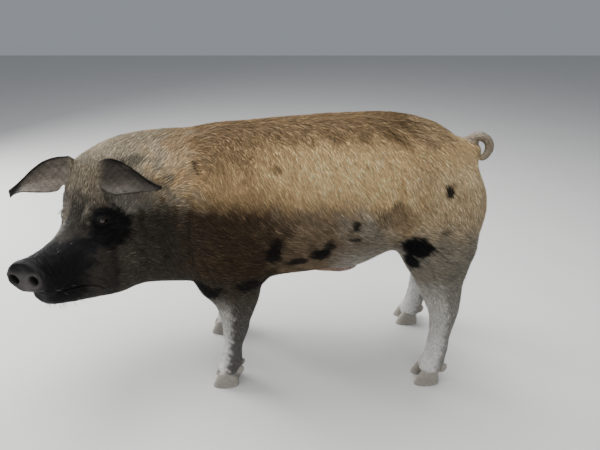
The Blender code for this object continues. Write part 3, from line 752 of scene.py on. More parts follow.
def path_distance(points, path):
    """Distance from each point to a line through the path's points."""
    best = np.full(len(points), 1.0)
    for a, b in zip(path, path[1:]):
        a, b = np.array(a), np.array(b)
        along = np.clip((points - a) @ (b - a) / ((b - a) @ (b - a)), 0, 1)
        best = np.minimum(best, np.linalg.norm(points - a - along[:, None] * (b - a), axis=1))
    return best


def crease(distance, depth, width, banks=0.45):
    """Height of a crease across its line: a groove with a soft bank on each side."""
    bank = np.exp(-(((distance - 2.1 * width) / (1.2 * width)) ** 2))
    return depth * (banks * bank - np.exp(-((distance / width) ** 2)))


# How deep the skin lies under the solids' surface, by place, which is the room for the coat.
COAT_DEPTH = 0.0055
HEAD_DEPTH = 0.0030
LEG_DEPTH = 0.0028
MUZZLE_DEPTH = 0.0012
FOOT_DEPTH = 0.0014
DISC_DEPTH = 0.0021
THIN_DEPTH = 0.0008

# Folds of the head in its own frame, on both sides: (name, depth, width, points as (forward, out, up)).
HEAD_FOLDS = (
    ("corner of the mouth", 0.0026, 0.0032, ((0.142, 0.066, -0.321), (0.130, 0.074, -0.332), (0.121, 0.078, -0.350))),
    ("behind the corner", 0.0016, 0.0040, ((0.128, 0.070, -0.300), (0.112, 0.078, -0.322), (0.106, 0.082, -0.352))),
    ("lip fold", 0.0014, 0.0030, ((0.215, 0.047, -0.288), (0.180, 0.056, -0.296), (0.150, 0.064, -0.302))),
    ("cheek", 0.0022, 0.0080, ((0.085, 0.082, -0.235), (0.070, 0.088, -0.290), (0.078, 0.088, -0.350))),
    ("jowl", 0.0032, 0.0100, ((0.020, 0.110, -0.215), (0.004, 0.120, -0.290), (0.016, 0.118, -0.375))),
    ("under the ear", 0.0030, 0.0080, ((-0.030, 0.120, -0.100), (-0.020, 0.128, -0.170), (-0.040, 0.130, -0.260))),
    ("brow", 0.0016, 0.0034, ((0.100, 0.036, -0.140), (0.076, 0.055, -0.132), (0.048, 0.068, -0.134))),
    ("brow, upper", 0.0014, 0.0040, ((0.082, 0.028, -0.112), (0.056, 0.052, -0.106), (0.028, 0.066, -0.112))),
    ("under the eye", 0.0015, 0.0032, ((0.092, 0.060, -0.192), (0.070, 0.076, -0.204), (0.046, 0.080, -0.198))),
    ("under the eye, lower", 0.0013, 0.0040, ((0.112, 0.056, -0.204), (0.080, 0.080, -0.226), (0.046, 0.088, -0.218))),
    ("behind the eye", 0.0012, 0.0032, ((0.046, 0.074, -0.166), (0.030, 0.086, -0.172), (0.012, 0.096, -0.186))),
)
# Wrinkles across the top of the muzzle: (forward, depth, width).
MUZZLE_WRINKLES = (
    (0.2440, 0.0016, 0.0026),
    (0.2280, 0.0010, 0.0026),
    (0.2110, 0.0009, 0.0030),
    (0.1900, 0.0008, 0.0034),
    (0.1660, 0.0007, 0.0040),
)
# Folds that show in the picture: (name, depth, width, columns and rows from top to bottom).
SEEN_FOLDS = (
    ("neck and shoulder", 0.0048, 0.0100, ((189, 200), (187, 215), (187, 232), (189, 250), (192, 266))),
    ("neck, front", 0.0022, 0.0100, ((168, 196), (165, 220), (166, 245), (172, 270))),
    ("neck, jowl", 0.0020, 0.0080, ((148, 200), (143, 222), (144, 246), (150, 268))),
    ("elbow", 0.0040, 0.0100, ((205, 270), (215, 284), (226, 292))),
    ("flank", 0.0030, 0.0160, ((392, 214), (382, 230), (376, 248))),
)
# The same on the far side: (name, depth, width, points).
FAR_FOLDS = (
    ("neck and shoulder, far", 0.0040, 0.0100, ((-0.330, 0.19, 0.70), (-0.335, 0.19, 0.60), (-0.320, 0.17, 0.48))),
    ("flank, far", 0.0030, 0.0160, ((0.255, 0.19, 0.62), (0.240, 0.18, 0.56), (0.225, 0.15, 0.48))),
)
# Grooves on the middle plane: (name, depth, width, points).
MIDDLE_FOLDS = (
    ("under the tail", 0.0060, 0.0080, ((0.500, 0.0, 0.760), (0.545, 0.0, 0.700), (0.548, 0.0, 0.650))),
    ("between the shoulders", 0.0012, 0.0140, ((-0.32, 0.0, 0.90), (-0.10, 0.0, 0.90), (0.10, 0.0, 0.90))),
)
# Depth and width of the mouth, with its share of bank, and of the fold before and behind each foot.
MOUTH_CREASE = (0.0056, 0.0014, 0.30)
FOOT_CREASE = (0.0045, 0.0050)
# Teats in two rows: (places along x, half the rows' distance, height, radius).
TEATS = ((-0.12, -0.05, 0.02, 0.17, 0.24, 0.31), 0.058, 0.0045, 0.0055)
# Lids: half sizes of the opening (across, up, down), the dome they make (height, across, up and down), how softly it
# meets the face, the radius of the hollow for the eyeball, and the creases round it as (place, depth, width).
LID_OPENING = (0.0132, 0.0072, 0.0056)
LID_DOME = (0.0173, 0.0240, 0.0195)
LID_BLEND = 0.0022
LID_HOLLOW = 0.0122
LID_CREASES = ((0.86, 0.0013, 0.0011), (1.22, 0.0010, 0.0014), (1.62, 0.0008, 0.0018))


def laid(tree, path, count=14):
    """A curve through the path's points, laid on the surface."""
    return [tree.find_nearest(Vector(point))[0][:] for point in smooth_rows(path, count)]


def fold_paths(tree):
    """Every fold as (depth, width, path on the surface)."""
    folds = []
    for side in (1, -1):
        for name, depth, width, points in HEAD_FOLDS:
            path = [head_point(forward, side * out, up) for forward, out, up in points]
            folds.append((depth, width, laid(tree, path)))
    for name, depth, width, pixels in SEEN_FOLDS:
        points = [seen_point(tree, *pixel) for pixel in pixels]
        folds.append((depth, width, laid(tree, [p for p in points if p is not None])))
    for name, depth, width, points in FAR_FOLDS + MIDDLE_FOLDS:
        folds.append((depth, width, laid(tree, points)))
    for leg in LEGS:
        x, y = leg_stations(leg)[-2][:2]
        for reach, top in ((-0.045, 0.085), (0.045, 0.100)):
            path = [(x + reach, y, 0.030), (x + reach, y, 0.060), (x + reach * 0.9, y, top)]
            folds.append((*FOOT_CREASE, laid(tree, path)))
    return folds


def coat_depth(points, thin):
    """Distance of the skin from the solids' surface at each point."""
    forward, left, up = in_head(points).T
    z, beside = points[:, 2], beside_head(left)
    return stepped(np.full(len(points), COAT_DEPTH), (
        (LEG_DEPTH, fall(z, 0.30, 0.44)),
        (FOOT_DEPTH, fall(z, 0.10, 0.22)),
        (HEAD_DEPTH, ramp(forward, -0.04, 0.06) * beside),
        (MUZZLE_DEPTH, ramp(forward, 0.09, 0.16) * beside),
        (DISC_DEPTH, ramp(forward, 0.250, 0.262) * beside),
        (THIN_DEPTH, thin),
    ))


def almond(across, rise):
    """1 on the edge of the opening between the lids, less inside."""
    tall = np.where(rise > 0, *LID_OPENING[1:])
    return np.sqrt((across / LID_OPENING[0]) ** 2 + (np.abs(rise) / tall) ** 1.54)


def shape_lids(points):
    """Raises the lids over each eyeball and opens them, with a crease above and bags below."""
    for side in (1, -1):
        centre, turn = eye_frame(side)
        turn = np.array(turn)
        local = (points - np.array(centre)) @ turn
        near = np.flatnonzero((np.linalg.norm(local, axis=1) < 0.048) & (local[:, 0] > -0.016))
        out, across, rise = local[near].T
        room = 1 - (across / LID_DOME[1]) ** 2 - (rise / LID_DOME[2]) ** 2
        dome = LID_DOME[0] * np.sqrt(np.clip(room, 0, 1))
        lidded = LID_BLEND * np.logaddexp(out / LID_BLEND, dome / LID_BLEND)
        out = np.where(room > 0, lidded, np.maximum(out, LID_BLEND * np.logaddexp(out / LID_BLEND, 0)))
        spread = np.hypot(across / 0.0250, rise / 0.0190)
        wave = 1 + 0.10 * np.sin(across * 260 + side)
        fade = ramp(np.abs(rise), 0.002, 0.007)
        for place, depth, width in LID_CREASES:
            out = out + fade * crease(np.abs(spread * wave - place) * 0.0205, depth, width)
        edge = almond(across, rise)
        out = out + 0.0005 * np.exp(-(((edge - 1.25) / 0.14) ** 2))
        deep = np.sqrt(np.clip(LID_HOLLOW**2 - across**2 - rise**2, 0, 1))
        out = out + (np.minimum(out, deep) - out) * fall(edge, 0.90, 1.05)
        points[near] = np.array(centre) + np.column_stack([out, across, rise]) @ turn.T
    return points


def nostril_share(left, up, side):
    """1 on the edge of a nostril, less inside."""
    lean = math.radians(NOSTRIL_LEAN * side)
    a, b = left - side * NOSTRIL[0], up - NOSTRIL[1]
    across, rise = a * math.cos(lean) + b * math.sin(lean), b * math.cos(lean) - a * math.sin(lean)
    return np.hypot(across / NOSTRIL_HALF[0], rise / NOSTRIL_HALF[1])


def shape_disc(points):
    """Opens the nostrils in the snout's disc and raises their rims."""
    local = in_head(points)
    front = disc_front(local[:, 0], local[:, 1])
    near = np.flatnonzero((front > 0.268) & (np.abs(local[:, 1]) < 0.07))
    forward, left, up = local[near].T
    face = ramp(front[near], 0.276, 0.284)
    for side in (1, -1):
        share = nostril_share(left, up, side)
        forward = forward - 0.021 * face * fall(share, 0.66, 1.0)
        forward = forward + 0.0015 * face * np.exp(-(((share - 1.30) / 0.22) ** 2))
    hollow = np.exp(-((left / 0.012) ** 2)) * ramp(up, -0.262, -0.235)
    forward = forward - 0.0014 * face * hollow
    points[near] = np.column_stack([forward, left, up]) @ np.array(HEAD_TURN).T + np.array(POLL)
    return points


def shape_skin(body, thin):
    """Moves the skin under the coat and gives it folds, lids, nostrils, a mouth and small unevenness."""
    tree = tree_of(body)
    mesh = body.data
    points, normals = surface(mesh)
    forward, left, up = in_head(points).T
    on_head = ramp(forward, -0.03, 0.03) * beside_head(left)
    rise = -coat_depth(points, thin)
    body_share = (1 - on_head) * (1 - thin)
    rise += body_share * (0.0009 * ripple(points, 0.11, 1) + 0.0004 * ripple(points, 0.04, 2))
    rise += on_head * (1 - thin) * (0.0004 * ripple(points, 0.030, 3) + 0.00012 * ripple(points, 0.009, 4))
    for depth, width, path in fold_paths(tree):
        centre = np.mean(path, axis=0)
        size = np.linalg.norm(np.array(path) - centre, axis=1).max() + 5 * width
        near = near_to(centre, points, size)
        rise[near] += crease(path_distance(points[near], path), depth, width) * (1 - thin[near])
    on_top = ramp(up, -0.262, -0.225) * (np.abs(left) < 0.08)
    for place, depth, width in MUZZLE_WRINKLES:
        wave = 0.0016 * np.sin(left * 190 + place * 900) + 0.35 * np.abs(left) ** 1.5
        rise += on_top * crease(np.abs(forward - place + wave), depth, width)
    path = laid(tree, mouth_side(1) + mouth_side(-1)[::-1], 60)
    near = np.flatnonzero((forward > 0.12) & (np.abs(left) < 0.09) & (up < -0.26))
    rise[near] += crease(path_distance(points[near], path), *MOUTH_CREASE)
    places, apart, height, radius = TEATS
    for x in places:
        for side in (-1, 1):
            gap = np.hypot(points[:, 0] - x, points[:, 1] - side * apart)
            rise += height * np.exp(-((gap / radius) ** 2)) * (normals[:, 2] < -0.5) * (points[:, 2] < 0.5)
    set_positions(mesh, shape_disc(shape_lids(points + normals * rise[:, None])))


def leg_middle(points, leg):
    """Offset of points from the middle of a leg, as (fore and aft, across)."""
    x, y, z = np.array(leg_stations(leg))[::-1, :3].T
    return points[:, 0] - np.interp(points[:, 2], z, x), points[:, 1] - np.interp(points[:, 2], z, y)


def make_marks(tree):
    """Each dark mark as (centre, first axis, second axis, half width, half height, strength)."""
    rays = []
    for name, column, row, *sizes in MARKS:
        rays.append((CAMERA, pixel_ray(column, row), sizes))
    for name, x, z, *sizes in FAR_MARKS:
        rays.append(((x, 1.0, z), Vector((0, -1, 0)), (*sizes, 0)))
    marks = []
    for start, way, (wide, tall, strength, slant) in rays:
        centre, normal = tree.ray_cast(Vector(start), way)[:2]
        if centre is None:
            continue
        along = Vector((1, 0, 0)) - normal * normal.x
        along = Matrix.Rotation(math.radians(slant), 3, normal) @ along.normalized()
        marks.append((np.array(centre), np.array(along), np.array(normal.cross(along)), wide, tall, strength))
    return marks


class Places:
    """Points of the surface with what their colours depend on."""

    def __init__(self, points, normals):
        self.points = points
        self.facing_up = normals[:, 2]
        self.x, self.y, self.z = points.T
        self.forward, self.left, self.up = in_head(points).T
        self.beside = beside_head(self.left)
        self.broad, self.small = ripple(points, 0.060, 11), ripple(points, 0.020, 12)


def trunk_tone(at):
    """Gold above with painted light on the middle of the flank and painted shadow below, grey towards the head, with a
    dark topline, pale hams and painted shade in the flank fold.
    """
    x, y, z, broad, small = at.x, at.y, at.z, at.broad, at.small
    # The edge of the painted shadow, lower towards the rump.
    edge = LIGHT_EDGE - 0.012 * ramp(-x, 0.36, 0.46) + 0.012 * ramp(x, -0.02, 0.10)
    edge = edge - 0.092 * ramp(x, 0.17, 0.30) + 0.013 * broad + 0.006 * small
    light = ramp(z, edge - 0.050 - 0.03 * ramp(x, 0.0, 0.15), edge + 0.044)
    shifted = x + 0.03 * broad
    # Below the edge: the lower coat's tones, with painted shadow darkest towards the head.
    lower = layered(SHADED, (
        (FLANK_LOW, ramp(shifted, -0.11, 0.03)),
        (FLANK_REAR, ramp(shifted, 0.06, 0.22)),
        (BELLY, 0.8 * fall(z + 0.01 * broad, 0.40, 0.48) * fall(x, -0.05, 0.10)),
        (BELLY_REAR, 0.7 * fall(z + 0.01 * broad, 0.47, 0.57) * ramp(x, 0.06, 0.15)),
    ))
    # Painted light on the middle of the flank, half as much towards the ham.
    pale = ramp(shifted, -0.12, 0.03) * (1 - 0.5 * ramp(x, 0.22, 0.34))
    withers = ramp(x + 0.04 * broad, -0.36, -0.28) * fall(x + 0.04 * broad, -0.22, -0.08)
    grey = fall(x + 0.045 * broad + 0.020 * small + 0.03 * ramp(z, 0.69, 0.78), -0.43, -0.21)
    top = ramp(at.facing_up + 0.10 * broad + 0.05 * small, 0.30, 0.92) * ramp(z + 0.012 * broad, 0.775, 0.880)
    ham = ramp(x + 0.02 * broad, 0.27, 0.36) * (1 - 0.7 * ramp(z, 0.74, 0.82))
    # Painted shade in the fold before the ham.
    fold = np.hypot((x - 0.264) / 0.062, (z - 0.652) / 0.048)
    return layered(lower, (
        (mix(GOLD, GOLD_PAINTED_LIGHT, pale), light),
        (WITHERS, 0.8 * withers * ramp(z, 0.73, 0.79)),
        # Painted shadow on the neck below the edge, its grey above.
        (mix(CHEEK_SHADOW, NECK_GREY, light), grey),
        (TOPLINE, top * (0.92 - 0.36 * grey)),
        (LOIN_TOP, 0.75 * ramp(x, 0.16, 0.32) * ramp(z + 0.02 * broad, 0.82, 0.885)),
        (mix(HAM_LOW, HAM_HIGH, ramp(z + 0.012 * broad, 0.53, 0.72)), 0.95 * ham),
        (RUMP_PALE, 0.5 * ramp(x, 0.43, 0.50) * ramp(z, 0.60, 0.68) * fall(z, 0.73, 0.78)),
        (FLANK_FOLD_SHADE, 0.72 * fall(fold + 0.2 * broad, 0.4, 1.3) * (np.abs(y) > 0.10)),
    ))


def leg_layer(at):
    """Whitish legs, with painted shade down their rear."""
    limb = mix(FOOT, SHANK, ramp(at.z + 0.01 * at.broad, 0.16, 0.30))
    for leg in LEGS:
        colour, strength, start, full = LEG_REAR_SHADE[leg[0][:4]]
        back, across = leg_middle(at.points, leg)
        # Painted shade behind the leg's middle.
        behind = ramp(back + 0.006 * at.small, start, full)
        behind = behind * (np.hypot(back, across) < 0.11) * ramp(at.z, 0.02, 0.07)
        limb = mix(limb, colour, strength * behind)
    hind = (at.x > 0.2) * fall(at.z + 0.012 * at.broad, 0.30, 0.48)
    fore = (at.x < 0.0) * fall(at.z + 0.012 * at.broad, 0.28, 0.41)
    return limb, np.maximum(hind, fore) * (1 - at.beside * ramp(at.forward, -0.02, 0.05))


def head_layers(at):
    """Painted shadow on the cheeks below a lit forehead and temple, painted bounce light low on the cheeks, then black
    eye patches, a black muzzle and pale streaks.
    """
    forward, left, up, small, beside = at.forward, at.left, at.up, at.small, at.beside
    # Painted shadow on the cheek, with painted bounce light lower down.
    cheek = mix(CHEEK_BOUNCE_LIGHT, CHEEK_SHADOW, ramp(at.z + 0.02 * at.broad, 0.50, 0.60))
    on_head = ramp(forward, -0.06, 0.03) * beside
    temple = ramp(left, 0.03, 0.06) * fall(forward, 0.02, 0.05)
    # The edge of the painted shadow on the head: lit above, shaded below.
    high = ramp(at.z + 0.024 * temple + 0.006 * at.broad + 0.004 * small, 0.670, 0.692)
    layers = [
        (mix(cheek, FOREHEAD, high * (0.36 + 0.64 * ramp(at.z, 0.70, 0.75))), on_head),
        (TEMPLE, 0.80 * high * temple * fall(at.z, 0.725, 0.760) * on_head),
        (FACE_FRONT, 0.92 * ramp(forward + 0.008 * small, 0.052, 0.082) * beside),
    ]
    for side in (1, -1):
        apart = np.hypot(
            (forward - EYE_PATCH[0]) / EYE_PATCH_HALF[0],
            np.hypot((left - side * EYE_PATCH[1]) / EYE_PATCH_HALF[1], (up - EYE_PATCH[2]) / EYE_PATCH_HALF[2]),
        )
        layers.append((BLACK, fall(apart + 0.07 * small, 0.78, 1.10) * 0.97))
    out = np.abs(left)
    bridge = fall(out + 0.004 * small, 0.014, 0.036) * ramp(up, -0.24, -0.18)
    start = 0.104 + 0.050 * bridge + 0.032 * fall(up, -0.290, -0.250) + 0.006 * small
    layers.append((BLACK, ramp(forward, start, start + 0.040) * beside))
    streak = np.exp(-(((out - 0.036) / 0.008) ** 2)) * fall(forward, 0.085, 0.105)
    streak = np.maximum(streak, ramp(out, 0.012, 0.024) * fall(out, 0.034, 0.046) * (left < 0))
    streak = streak * ramp(forward, 0.060, 0.078) * fall(forward, 0.150, 0.190) * beside
    layers.append((FACE_STREAK, np.clip(0.7 * streak * (1 + 0.4 * small), 0, 1)))
    return layers


def disc_layers(at):
    """The bare disc: painted shade at its rim and top, a painted highlight in its middle and round the nostrils, and
    painted shade inside them.
    """
    disc = ramp(disc_front(at.forward, at.left), 0.2710, 0.2750) * at.beside
    rise = at.up - DISC_LEVEL
    rim = np.hypot(at.left / DISC_HALF[0], rise / DISC_HALF[1])
    # Painted shade at the disc's rim and top.
    shade = np.maximum(ramp(rim, 0.70, 1.0), ramp(rise, 0.004, 0.030))
    # Painted highlight in the disc's middle.
    middle = np.exp(-((at.left / 0.016) ** 2)) * fall(rise, -0.010, 0.024) * fall(rim, 0.75, 1.0)
    layers = [(mix(DISC_SKIN, DISC_SHADE, shade), disc), (DISC_HIGHLIGHT, disc * 0.8 * middle)]
    for side in (1, -1):
        share = nostril_share(at.left, at.up, side)
        # Painted highlight on each nostril's rim and painted shade inside it.
        ring = np.exp(-(((share - 1.35) / 0.25) ** 2)) * (rim < 0.95)
        layers += [(NOSTRIL_RIM_HIGHLIGHT, disc * 0.35 * ring), (NOSTRIL_SHADE, disc * fall(share, 0.80, 1.02))]
    return layers


def ear_layers(at, ears):
    """Brown ears with dark rims and tips, painted shade in the near one's hollow and painted light in the far one's.
    The near one has painted light on its lobe and painted shade in its fold.
    """
    layers = []
    for side in (-1, 1):
        share, hollow, edge = ears[side]
        out = -at.left * side
        leaf = mix(EAR_OUTER, EAR_HOLLOW_SHADE_AND_LIGHT[side], hollow)
        leaf = mix(leaf, EAR_RIM_AND_FOLD_SHADE, np.maximum(edge, ramp(out, 0.188, 0.218)))
        if side < 0:
            # Painted light on the near ear's lobe.
            lobe = hollow * ramp(-at.up, 0.062, 0.088) * fall(out, 0.135, 0.170)
            leaf = mix(leaf, EAR_LOBE_LIT, 0.75 * lobe)
            # Painted shade in the near ear's fold.
            leaf = mix(leaf, EAR_RIM_AND_FOLD_SHADE, 0.5 * hollow * fall(np.abs(at.up + 0.045), 0.006, 0.030))
        layers.append((leaf * (1 + 0.12 * at.small)[:, None], share))
    return layers


def bare_layers(at, tails):
    """Tail, sheath, sack and the line where the claws start."""
    sheath = np.hypot(np.hypot((at.x - 0.085) / 0.10, at.y / 0.045), (at.z - 0.385) / 0.045)
    sack = np.hypot(np.hypot((at.x - 0.515) / 0.075, at.y / 0.085), (at.z - 0.615) / 0.080)
    return [
        (TAIL_SKIN, tails * 0.8),
        (SHEATH_SKIN, 0.75 * fall(sheath, 0.6, 1.1)),
        (SACK_SKIN, 0.6 * fall(sack, 0.7, 1.1)),
        (CLAW_LINE, 0.5 * fall(at.z, 0.030, 0.060)),
    ]


def colours(points, normals, ears, tails, marks):
    """Colour of skin and hair at each point. The coat and the skin under it both take theirs from here."""
    at = Places(points, normals)
    layers = [leg_layer(at), *head_layers(at), *disc_layers(at), *ear_layers(at, ears), *bare_layers(at, tails)]
    tone = layered(trunk_tone(at), layers) * (1 + 0.07 * at.broad + 0.06 * at.small)[:, None]
    for centre, along, across, wide, tall, strength in marks:
        near = near_to(centre, points, 2.2 * max(wide, tall))
        away = points[near] - centre
        size = np.hypot(away @ along / wide, away @ across / tall)
        share = strength * fall(size + 0.14 * at.small[near] + 0.05 * at.broad[near], 0.72, 1.22)
        tone[near] = mix(tone[near], BLACK, share)
    return np.clip(tone, 0.002, 0.95)


def lie(points, normals, ears, tails):
    """Direction in which the hair lies, as unit vectors along the skin."""
    x, y, z = points.T
    forward, left, up = in_head(points).T
    dip = np.radians(6 + 56 * ramp(z, 0.56, 0.70))
    way = np.column_stack([np.cos(dip), 0.10 * np.sign(y), -np.sin(dip)])

    thigh = ramp(x, 0.24, 0.34) * fall(z, 0.56, 0.66) * ramp(z, 0.36, 0.42)
    from_nose = unit(points - np.array(head_point(0.25, 0, -0.22)))
    down = np.array((0.0, 0.0, -0.75)) * ramp(np.abs(forward + 0.12), 0.0, 0.18)[:, None]
    nape = fall(x, -0.36, -0.20) * (z > HEAD_FLOOR)
    back = -np.array(FORWARD) + np.outer(ramp(up, -0.20, -0.10), (0, 0, 1.3))
    face = ramp(forward, -0.06, 0.03) * beside_head(left) * (z > HEAD_FLOOR)
    ways = [
        (np.array((0.30, 0, -1.0)), ramp(x, 0.38, 0.50)),
        (np.array((1.0, 0, -0.35)), thigh),
        (np.array((0.18, 0, -1.0)), fall(z, 0.34, 0.44)),
        (from_nose + down * fall(forward, -0.12, 0.0)[:, None], nape),
        (back, face),
    ]
    for side in (-1, 1):
        tip = np.array(head_point(0.0, -side * 0.30, -0.10)) - np.array(head_point(0.02, -side * 0.07, -0.04))
        ways.append((tip / np.linalg.norm(tip), ears[side][0]))
    ways.append((np.array((0.6, -0.1, -0.6)), tails))
    way = stepped(way, [(target, share[:, None]) for target, share in ways])

    way = unit(way - normals * np.sum(way * normals, axis=1)[:, None], 1e-9)
    swirl = 0.10 * ripple(points, 0.10, 21) + 0.08 * ripple(points, 0.03, 22)
    return unit(way + np.cross(normals, way) * swirl[:, None])


def thin_share(ears, tails):
    """How much each point belongs to an ear or the tail, where the coat is thin."""
    return np.maximum(np.maximum(ears[-1][0], ears[1][0]), tails)


# Length of the hair on the trunk, and what the back has more. It changes in steps further down, as (length, height
# where it is reached, height where the step starts), and on the head, as (length, where forward of the poll the step
# starts, where it is reached).
HAIR_LENGTH = 0.022
BACK_LENGTH = 0.010
LENGTH_DOWN = ((0.019, 0.42, 0.55), (0.015, 0.30, 0.40), (0.009, 0.06, 0.20))
LENGTH_AHEAD = ((0.017, -0.08, 0.02), (0.0075, 0.09, 0.13), (0.0050, 0.17, 0.24))
EYE_LENGTH = 0.0060
EAR_LENGTH = 0.0085
TAIL_LENGTH = 0.012


def hair_length(points, normals, ears, tails):
    """Length of the tufts at each point."""
    z = points[:, 2]
    forward, left, up = in_head(points).T
    steps = [(length, fall(z, low, high)) for length, low, high in LENGTH_DOWN]
    steps += [(length, ramp(forward, start, full) * beside_head(left)) for length, start, full in LENGTH_AHEAD]
    for side in (1, -1):
        gap = np.linalg.norm(points - np.array(eye_frame(side)[0]), axis=1)
        steps += [(EYE_LENGTH, fall(gap, 0.022, 0.050)), (EAR_LENGTH, ears[-side][0])]
    on_trunk = HAIR_LENGTH + BACK_LENGTH * ramp(normals[:, 2], 0.80, 0.98) * ramp(z, 0.74, 0.84)
    return stepped(on_trunk, [*steps, (TAIL_LENGTH, tails)])


def ear_shares(points, normals, trees, rims):
    """For each ear: how much of it each point is, how much on its hollow side, and how near its rim."""
    shares = {}
    for side in (-1, 1):
        share, front, edge = np.zeros(len(points)), np.zeros(len(points)), np.zeros(len(points))
        root = np.array(head_point(0.02, -side * 0.07, -0.06))
        near = near_to(root, points, 0.24)
        away = (points[near] - root) @ np.array(head_point(0, -side, 0) - Vector(POLL))
        gap = distances(trees[side], points[near], 0.006)
        share[near] = fall(gap, 0.0022, 0.0050) * ramp(away, -0.022, -0.004)
        ahead = HEAD_TURN @ Vector((1.0, -0.15 * -side, -0.10)).normalized()
        facing = normals[near] @ np.array(ahead)
        front[near] = ramp(facing, -0.15, 0.35)
        edge[near] = fall(np.abs(facing), 0.10, 0.60)
        edge[near] = np.maximum(edge[near], fall(path_distance(points[near], rims[side]), 0.003, 0.012))
        shares[side] = (share, front, edge)
    return shares


def fill_mesh(name, points, triangles, tone, uvs=None):
    """An object from arrays, with a colour for each vertex and, for the coat, its OFBake map."""
    mesh = bpy.data.meshes.new(name)
    mesh.vertices.add(len(points))
    mesh.vertices.foreach_set("co", np.asarray(points, np.float32).ravel())
    mesh.loops.add(3 * len(triangles))
    mesh.loops.foreach_set("vertex_index", np.asarray(triangles, np.int32).ravel())
    mesh.polygons.add(len(triangles))
    mesh.polygons.foreach_set("loop_start", np.arange(0, 3 * len(triangles), 3, dtype=np.int32))
    mesh.update(calc_edges=True)
    mesh.polygons.foreach_set("use_smooth", np.ones(len(triangles), bool))
    set_tone(mesh, tone)
    if uvs is not None:
        layer = mesh.uv_layers.new(name="OFBake")
        layer.data.foreach_set("uv", np.asarray(uvs, np.float32)[np.asarray(triangles).ravel()].ravel())
    return scene_object(name, mesh)


def set_tone(mesh, tone):
    layer = mesh.color_attributes.new("tone", "FLOAT_COLOR", "POINT")
    layer.data.foreach_set("color", np.column_stack([tone, np.ones(len(tone))]).astype(np.float32).ravel())


# Corners of a tuft: (part of the way to the tip, across, up). The root, a ring where it is widest, and the tip.
TUFT_RINGS = (
    (0.00, 0.00, -0.20),
    (0.34, -0.50, -0.06), (0.34, 0.50, -0.06), (0.34, 0.00, 0.34),
    (1.00, 0.00, 0.00),
)
CORNERS = len(TUFT_RINGS)
TUFT_PARTS = (0.00, 0.34, 1.00)
TUFT_FACES = ((2, 1, 0), (3, 2, 0), (1, 3, 0), (1, 2, 4), (2, 3, 4), (3, 1, 4))
# Painted shade and highlight on each corner: darkest at the root deep in the coat, lighter on the top corner than on
# the sides, brightest at the tip.
TUFT_SHADE_AND_HIGHLIGHT = (0.58, 0.89, 0.89, 1.02, 1.22)
# Size of a tuft's patch on the map.
UV_PATCH = 0.003


def spine_map(points):
    """Place along the body's middle line from rump to snout, and angle round it."""
    line = [((0.56, 0.0, 0.66), 0.0), ((0.10, 0.0, 0.63), 0.0), ((-0.30, 0.0, 0.60), 0.0)]
    line += [((x, y, wide), yaw) for x, y, yaw, top, wide, *rest in NECK[1:5]]
    line += [(head_point(f, 0, up), HEAD_YAW) for f, up in ((-0.02, -0.20), (0.10, -0.25), (0.29, -0.24))]
    best, along, angle, start = np.full(len(points), 9.0), np.zeros(len(points)), np.zeros(len(points)), 0.0
    for (a, turn_a), (b, turn_b) in zip(line, line[1:]):
        a, b = np.array(a), np.array(b)
        length = np.linalg.norm(b - a)
        share = np.clip((points - a) @ (b - a) / length**2, 0, 1)
        away = points - a - share[:, None] * (b - a)
        gap = np.linalg.norm(away, axis=1)
        left = np.array(level_axes((turn_a + turn_b) / 2)[1])
        closer = gap < best
        best = np.where(closer, gap, best)
        along = np.where(closer, start + share * length, along)
        angle = np.where(closer, np.arctan2(away @ left, away[:, 2]), angle)
        start += length
    return np.column_stack([along, angle])


def leg_map(points, leg):
    """Height on a leg, and angle round it."""
    fore, across = leg_middle(points, leg)
    return np.column_stack([points[:, 2], np.arctan2(across, fore)])


def ear_map(points, front):
    """The two faces of the ears laid flat beside one another."""
    forward, left, up = in_head(points).T
    return np.column_stack([left + 0.9 * (front > 0.5), up])


def to_square(places):
    """Places moved and scaled to fill the map with a small border."""
    low, high = places.min(axis=0), places.max(axis=0)
    return 0.006 + (places - low) / np.maximum(high - low, 1e-6) * 0.984


def tuft_faces(count):
    """Corners of the faces of count tufts."""
    return (np.array(TUFT_FACES)[None] + CORNERS * np.arange(count)[:, None, None]).reshape(-1, 3)


def tuft_uvs(places, raised=0.0):
    """Each tuft's patch on the map, with its top corner raised."""
    patch = np.array([(across, part) for part, across, high in TUFT_RINGS]) * UV_PATCH
    patch[3] += (0.0, raised)
    return (to_square(places)[:, None, :] + patch[None]).reshape(-1, 2)


